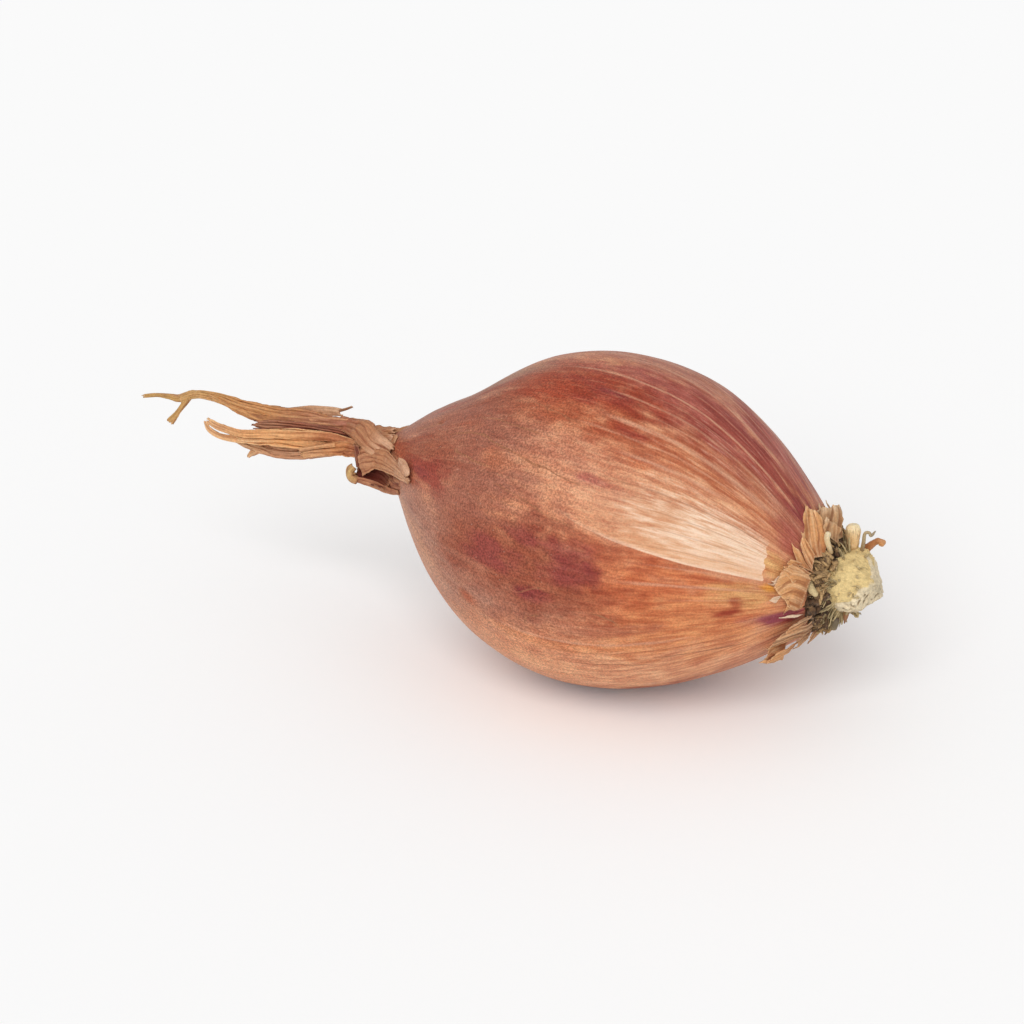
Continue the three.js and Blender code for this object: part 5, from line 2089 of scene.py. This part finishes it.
        hidden = (
            Flake("skin_flake_under", FLAKE_BROWN, 196, 2.4, 10.4, 3.4),
            Flake("skin_flake_rear_low", FLAKE_TAN, 236, 2.0, 10.0, 4.2),
            Flake("skin_flake_rear", FLAKE_STRAW, 282, 2.6, 10.7, 3.8),
        )
        return (
            scale(
                "skin_flake_top",
                FLAKE_STRAW,
                torn_scale(top, (0.45, -0.85, 0.2), 0.12, 25, -0.1),
                torn_scale(top_thin, (0.5, -0.8, 0.2)),
                Flake("", FLAKE_STRAW, 318, 1.6, 9.8, 3.2).strip(),
                Flake("", FLAKE_STRAW, 345, 1.4, 9.6, 3.0).strip(),
            ),
            scale(
                "skin_flake_upper",
                FLAKE_TAN,
                torn_scale(upper, (0.62, -0.7, 0.36), 0.1, 12, 0.1),
                torn_scale(upper_two, (0.72, -0.56, 0.4), 0.15, 8, -0.3),
            ),
            scale("skin_flake_sliver", FLAKE_TAN, torn_scale(sliver, (0.77, -0.48, 0.42), 0.1)),
            scale(
                "skin_flake_side",
                FLAKE_TAN,
                torn_scale(side, (0.74, -0.59, 0.33)),
                torn_scale(side_two, (0.72, -0.6, 0.33)),
            ),
            scale(
                "skin_flake_front",
                FLAKE_TAN,
                replace(torn_scale(front, look, 0.08, 6, -0.2), pleats=4.0, fold=0.09),
            ),
            scale(
                "skin_flake_pale",
                FLAKE_PALE,
                torn_scale(pale, (0.7, -0.7, -0.13)),
                torn_scale(yellow, (0.7, -0.69, 0.18)),
                torn_scale(tip, (0.68, -0.73, 0.05), 0.1),
            ),
            scale(
                "skin_flake_long",
                FLAKE_BROWN,
                torn_scale(long_two, (0.66, -0.65, -0.35)),
                torn_scale(long, (0.64, -0.63, -0.4), 0.1, 35),
            ),
            scale(
                "skin_flake_bottom",
                FLAKE_TAN,
                torn_scale(bottom_two, (0.6, -0.6, -0.5)),
                torn_scale(bottom, (0.4, -0.85, 0.0), 0.05, 20),
                # A strip in full painted shade stands for the dark hole in the flake.
                replace(torn_scale(shaded_hole, (0.4, -0.85, 0.0), 0.1, 10), shade=1.0),
            ),
            scale(
                "skin_flake_chip",
                FLAKE_BROWN,
                torn_scale(chip, (0.66, -0.4, -0.6)),
                torn_scale(chip_two, (0.66, -0.52, -0.55)),
            ),
            *(scale(flake.name, flake.finish, flake.strip()) for flake in hidden),
        )

    def build(self, effects: Effects) -> list[bpy.types.Object]:
        """Makes the whole root end.

        Args:
            effects: The shared effects.

        Returns:
            Its finished pieces.
        """
        made = [self.build_plate(effects), self.build_crust(effects)]
        for step, piece in enumerate((*self.roots(), *self.flakes())):
            made.append(piece.build(self.origin, effects, self.seed + step))
        return made


# ---- The studio ----


@dataclass
class Studio:
    """A pale floor, soft light and the camera.

    Attributes:
        azimuth: How far round to the right the camera stands, in degrees.
        elevation: How far above the horizon it stands, in degrees.
        distance: How far from its target it stands, in metres.
        aside: How far left of the bulb's middle the target lies, in metres.
        above: How far above the bulb's middle the target lies, in metres.
        lens: The camera's focal length, in millimetres.
    """

    azimuth: float = 22.0
    elevation: float = 26.0
    distance: float = 0.3726
    aside: float = 0.01284
    above: float = 0.00105
    lens: float = 100.0
    floor_size: float = 6.0
    floor_tone: float = 0.95
    floor_glow: float = 0.05
    sky: float = 0.64
    key: float = 1.45

    def build(self) -> None:
        """Sets up the floor, the light and the camera."""
        self._floor()
        self._lights()
        self._camera()
        bpy.context.scene.view_settings.view_transform = "Standard"

    def _floor(self) -> None:
        """A plain pale floor."""
        bm = bmesh.new()
        bmesh.ops.create_grid(bm, x_segments=2, y_segments=2, size=self.floor_size / 2)
        mesh = bpy.data.meshes.new("floor")
        bm.to_mesh(mesh)
        bm.free()
        floor = bpy.data.objects.new("floor", mesh)
        bpy.context.scene.collection.objects.link(floor)
        material, sheet = new_material("floor")
        tone = (self.floor_tone, self.floor_tone, self.floor_tone, 1.0)
        seen = sheet.node("ShaderNodeLightPath").outputs["Is Camera Ray"]
        sockets = {
            "Base Color": tone,
            "Roughness": 0.9,
            "Specular IOR Level": 0.0,
            "Emission Color": (1.0, 1.0, 1.0, 1.0),
            "Emission Strength": sheet.fade(seen, 0.0, 1.0, (0.0, self.floor_glow)),
        }
        close_material(sheet, sockets)
        mesh.materials.append(material)

    def _lights(self) -> None:
        """An even white sky and a broad key light from the upper left."""
        world = bpy.data.worlds.new("sky")
        world.use_nodes = True
        world.node_tree.nodes.clear()
        sheet = Sheet(world.node_tree)
        path = sheet.node("ShaderNodeLightPath")
        strength = sheet.fade(path.outputs["Is Camera Ray"], 0.0, 1.0, (self.sky, 1.0))
        sky = sheet.node("ShaderNodeBackground", {"Color": (1, 1, 1, 1), "Strength": strength})
        sheet.node("ShaderNodeOutputWorld", {"Surface": sky.outputs[0]})
        bpy.context.scene.world = world
        lamp = bpy.data.lights.new("key", "SUN")
        lamp.energy = self.key
        lamp.angle = math.radians(45)
        key = bpy.data.objects.new("key", lamp)
        bpy.context.scene.collection.objects.link(key)
        direction = Vector((-0.08, 0.8, -0.75))
        key.rotation_euler = direction.to_track_quat("-Z", "Y").to_euler()

    def _camera(self) -> None:
        """The camera, aimed from the bulb's own middle."""
        low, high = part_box("bulb")
        turn, rise = math.radians(self.azimuth), math.radians(self.elevation)
        right = Vector((math.cos(turn), math.sin(turn), 0.0))
        back = Vector((math.sin(turn) * math.cos(rise), -math.cos(turn) * math.cos(rise), math.sin(rise)))
        up = back.cross(right)
        middle = Vector((0.0, 0.0, (high.z + low.z) / 2 - 0.00033))
        target = middle - right * self.aside + up * self.above
        data = bpy.data.cameras.new("camera")
        data.lens = self.lens
        data.sensor_width = 36.0
        camera = bpy.data.objects.new("camera", data)
        bpy.context.scene.collection.objects.link(camera)
        camera.location = target + back * self.distance
        camera.rotation_euler = back.to_track_quat("Z", "Y").to_euler()
        bpy.context.scene.camera = camera


def main() -> None:
    """Builds the shallot and its studio, and reports each piece."""
    logging.basicConfig(level=logging.INFO, format="%(name)s: %(message)s")
    effects = Effects()
    bulb = Bulb()
    pieces = [bulb.build(effects)]
    pieces += NeckTuft(bulb.neck_end()).build(effects)
    pieces += RootEnd(bulb.root_end()).build(effects)
    Studio().build()
    log.info("%d pieces", len(pieces))


if __name__ == "__main__":
    main()
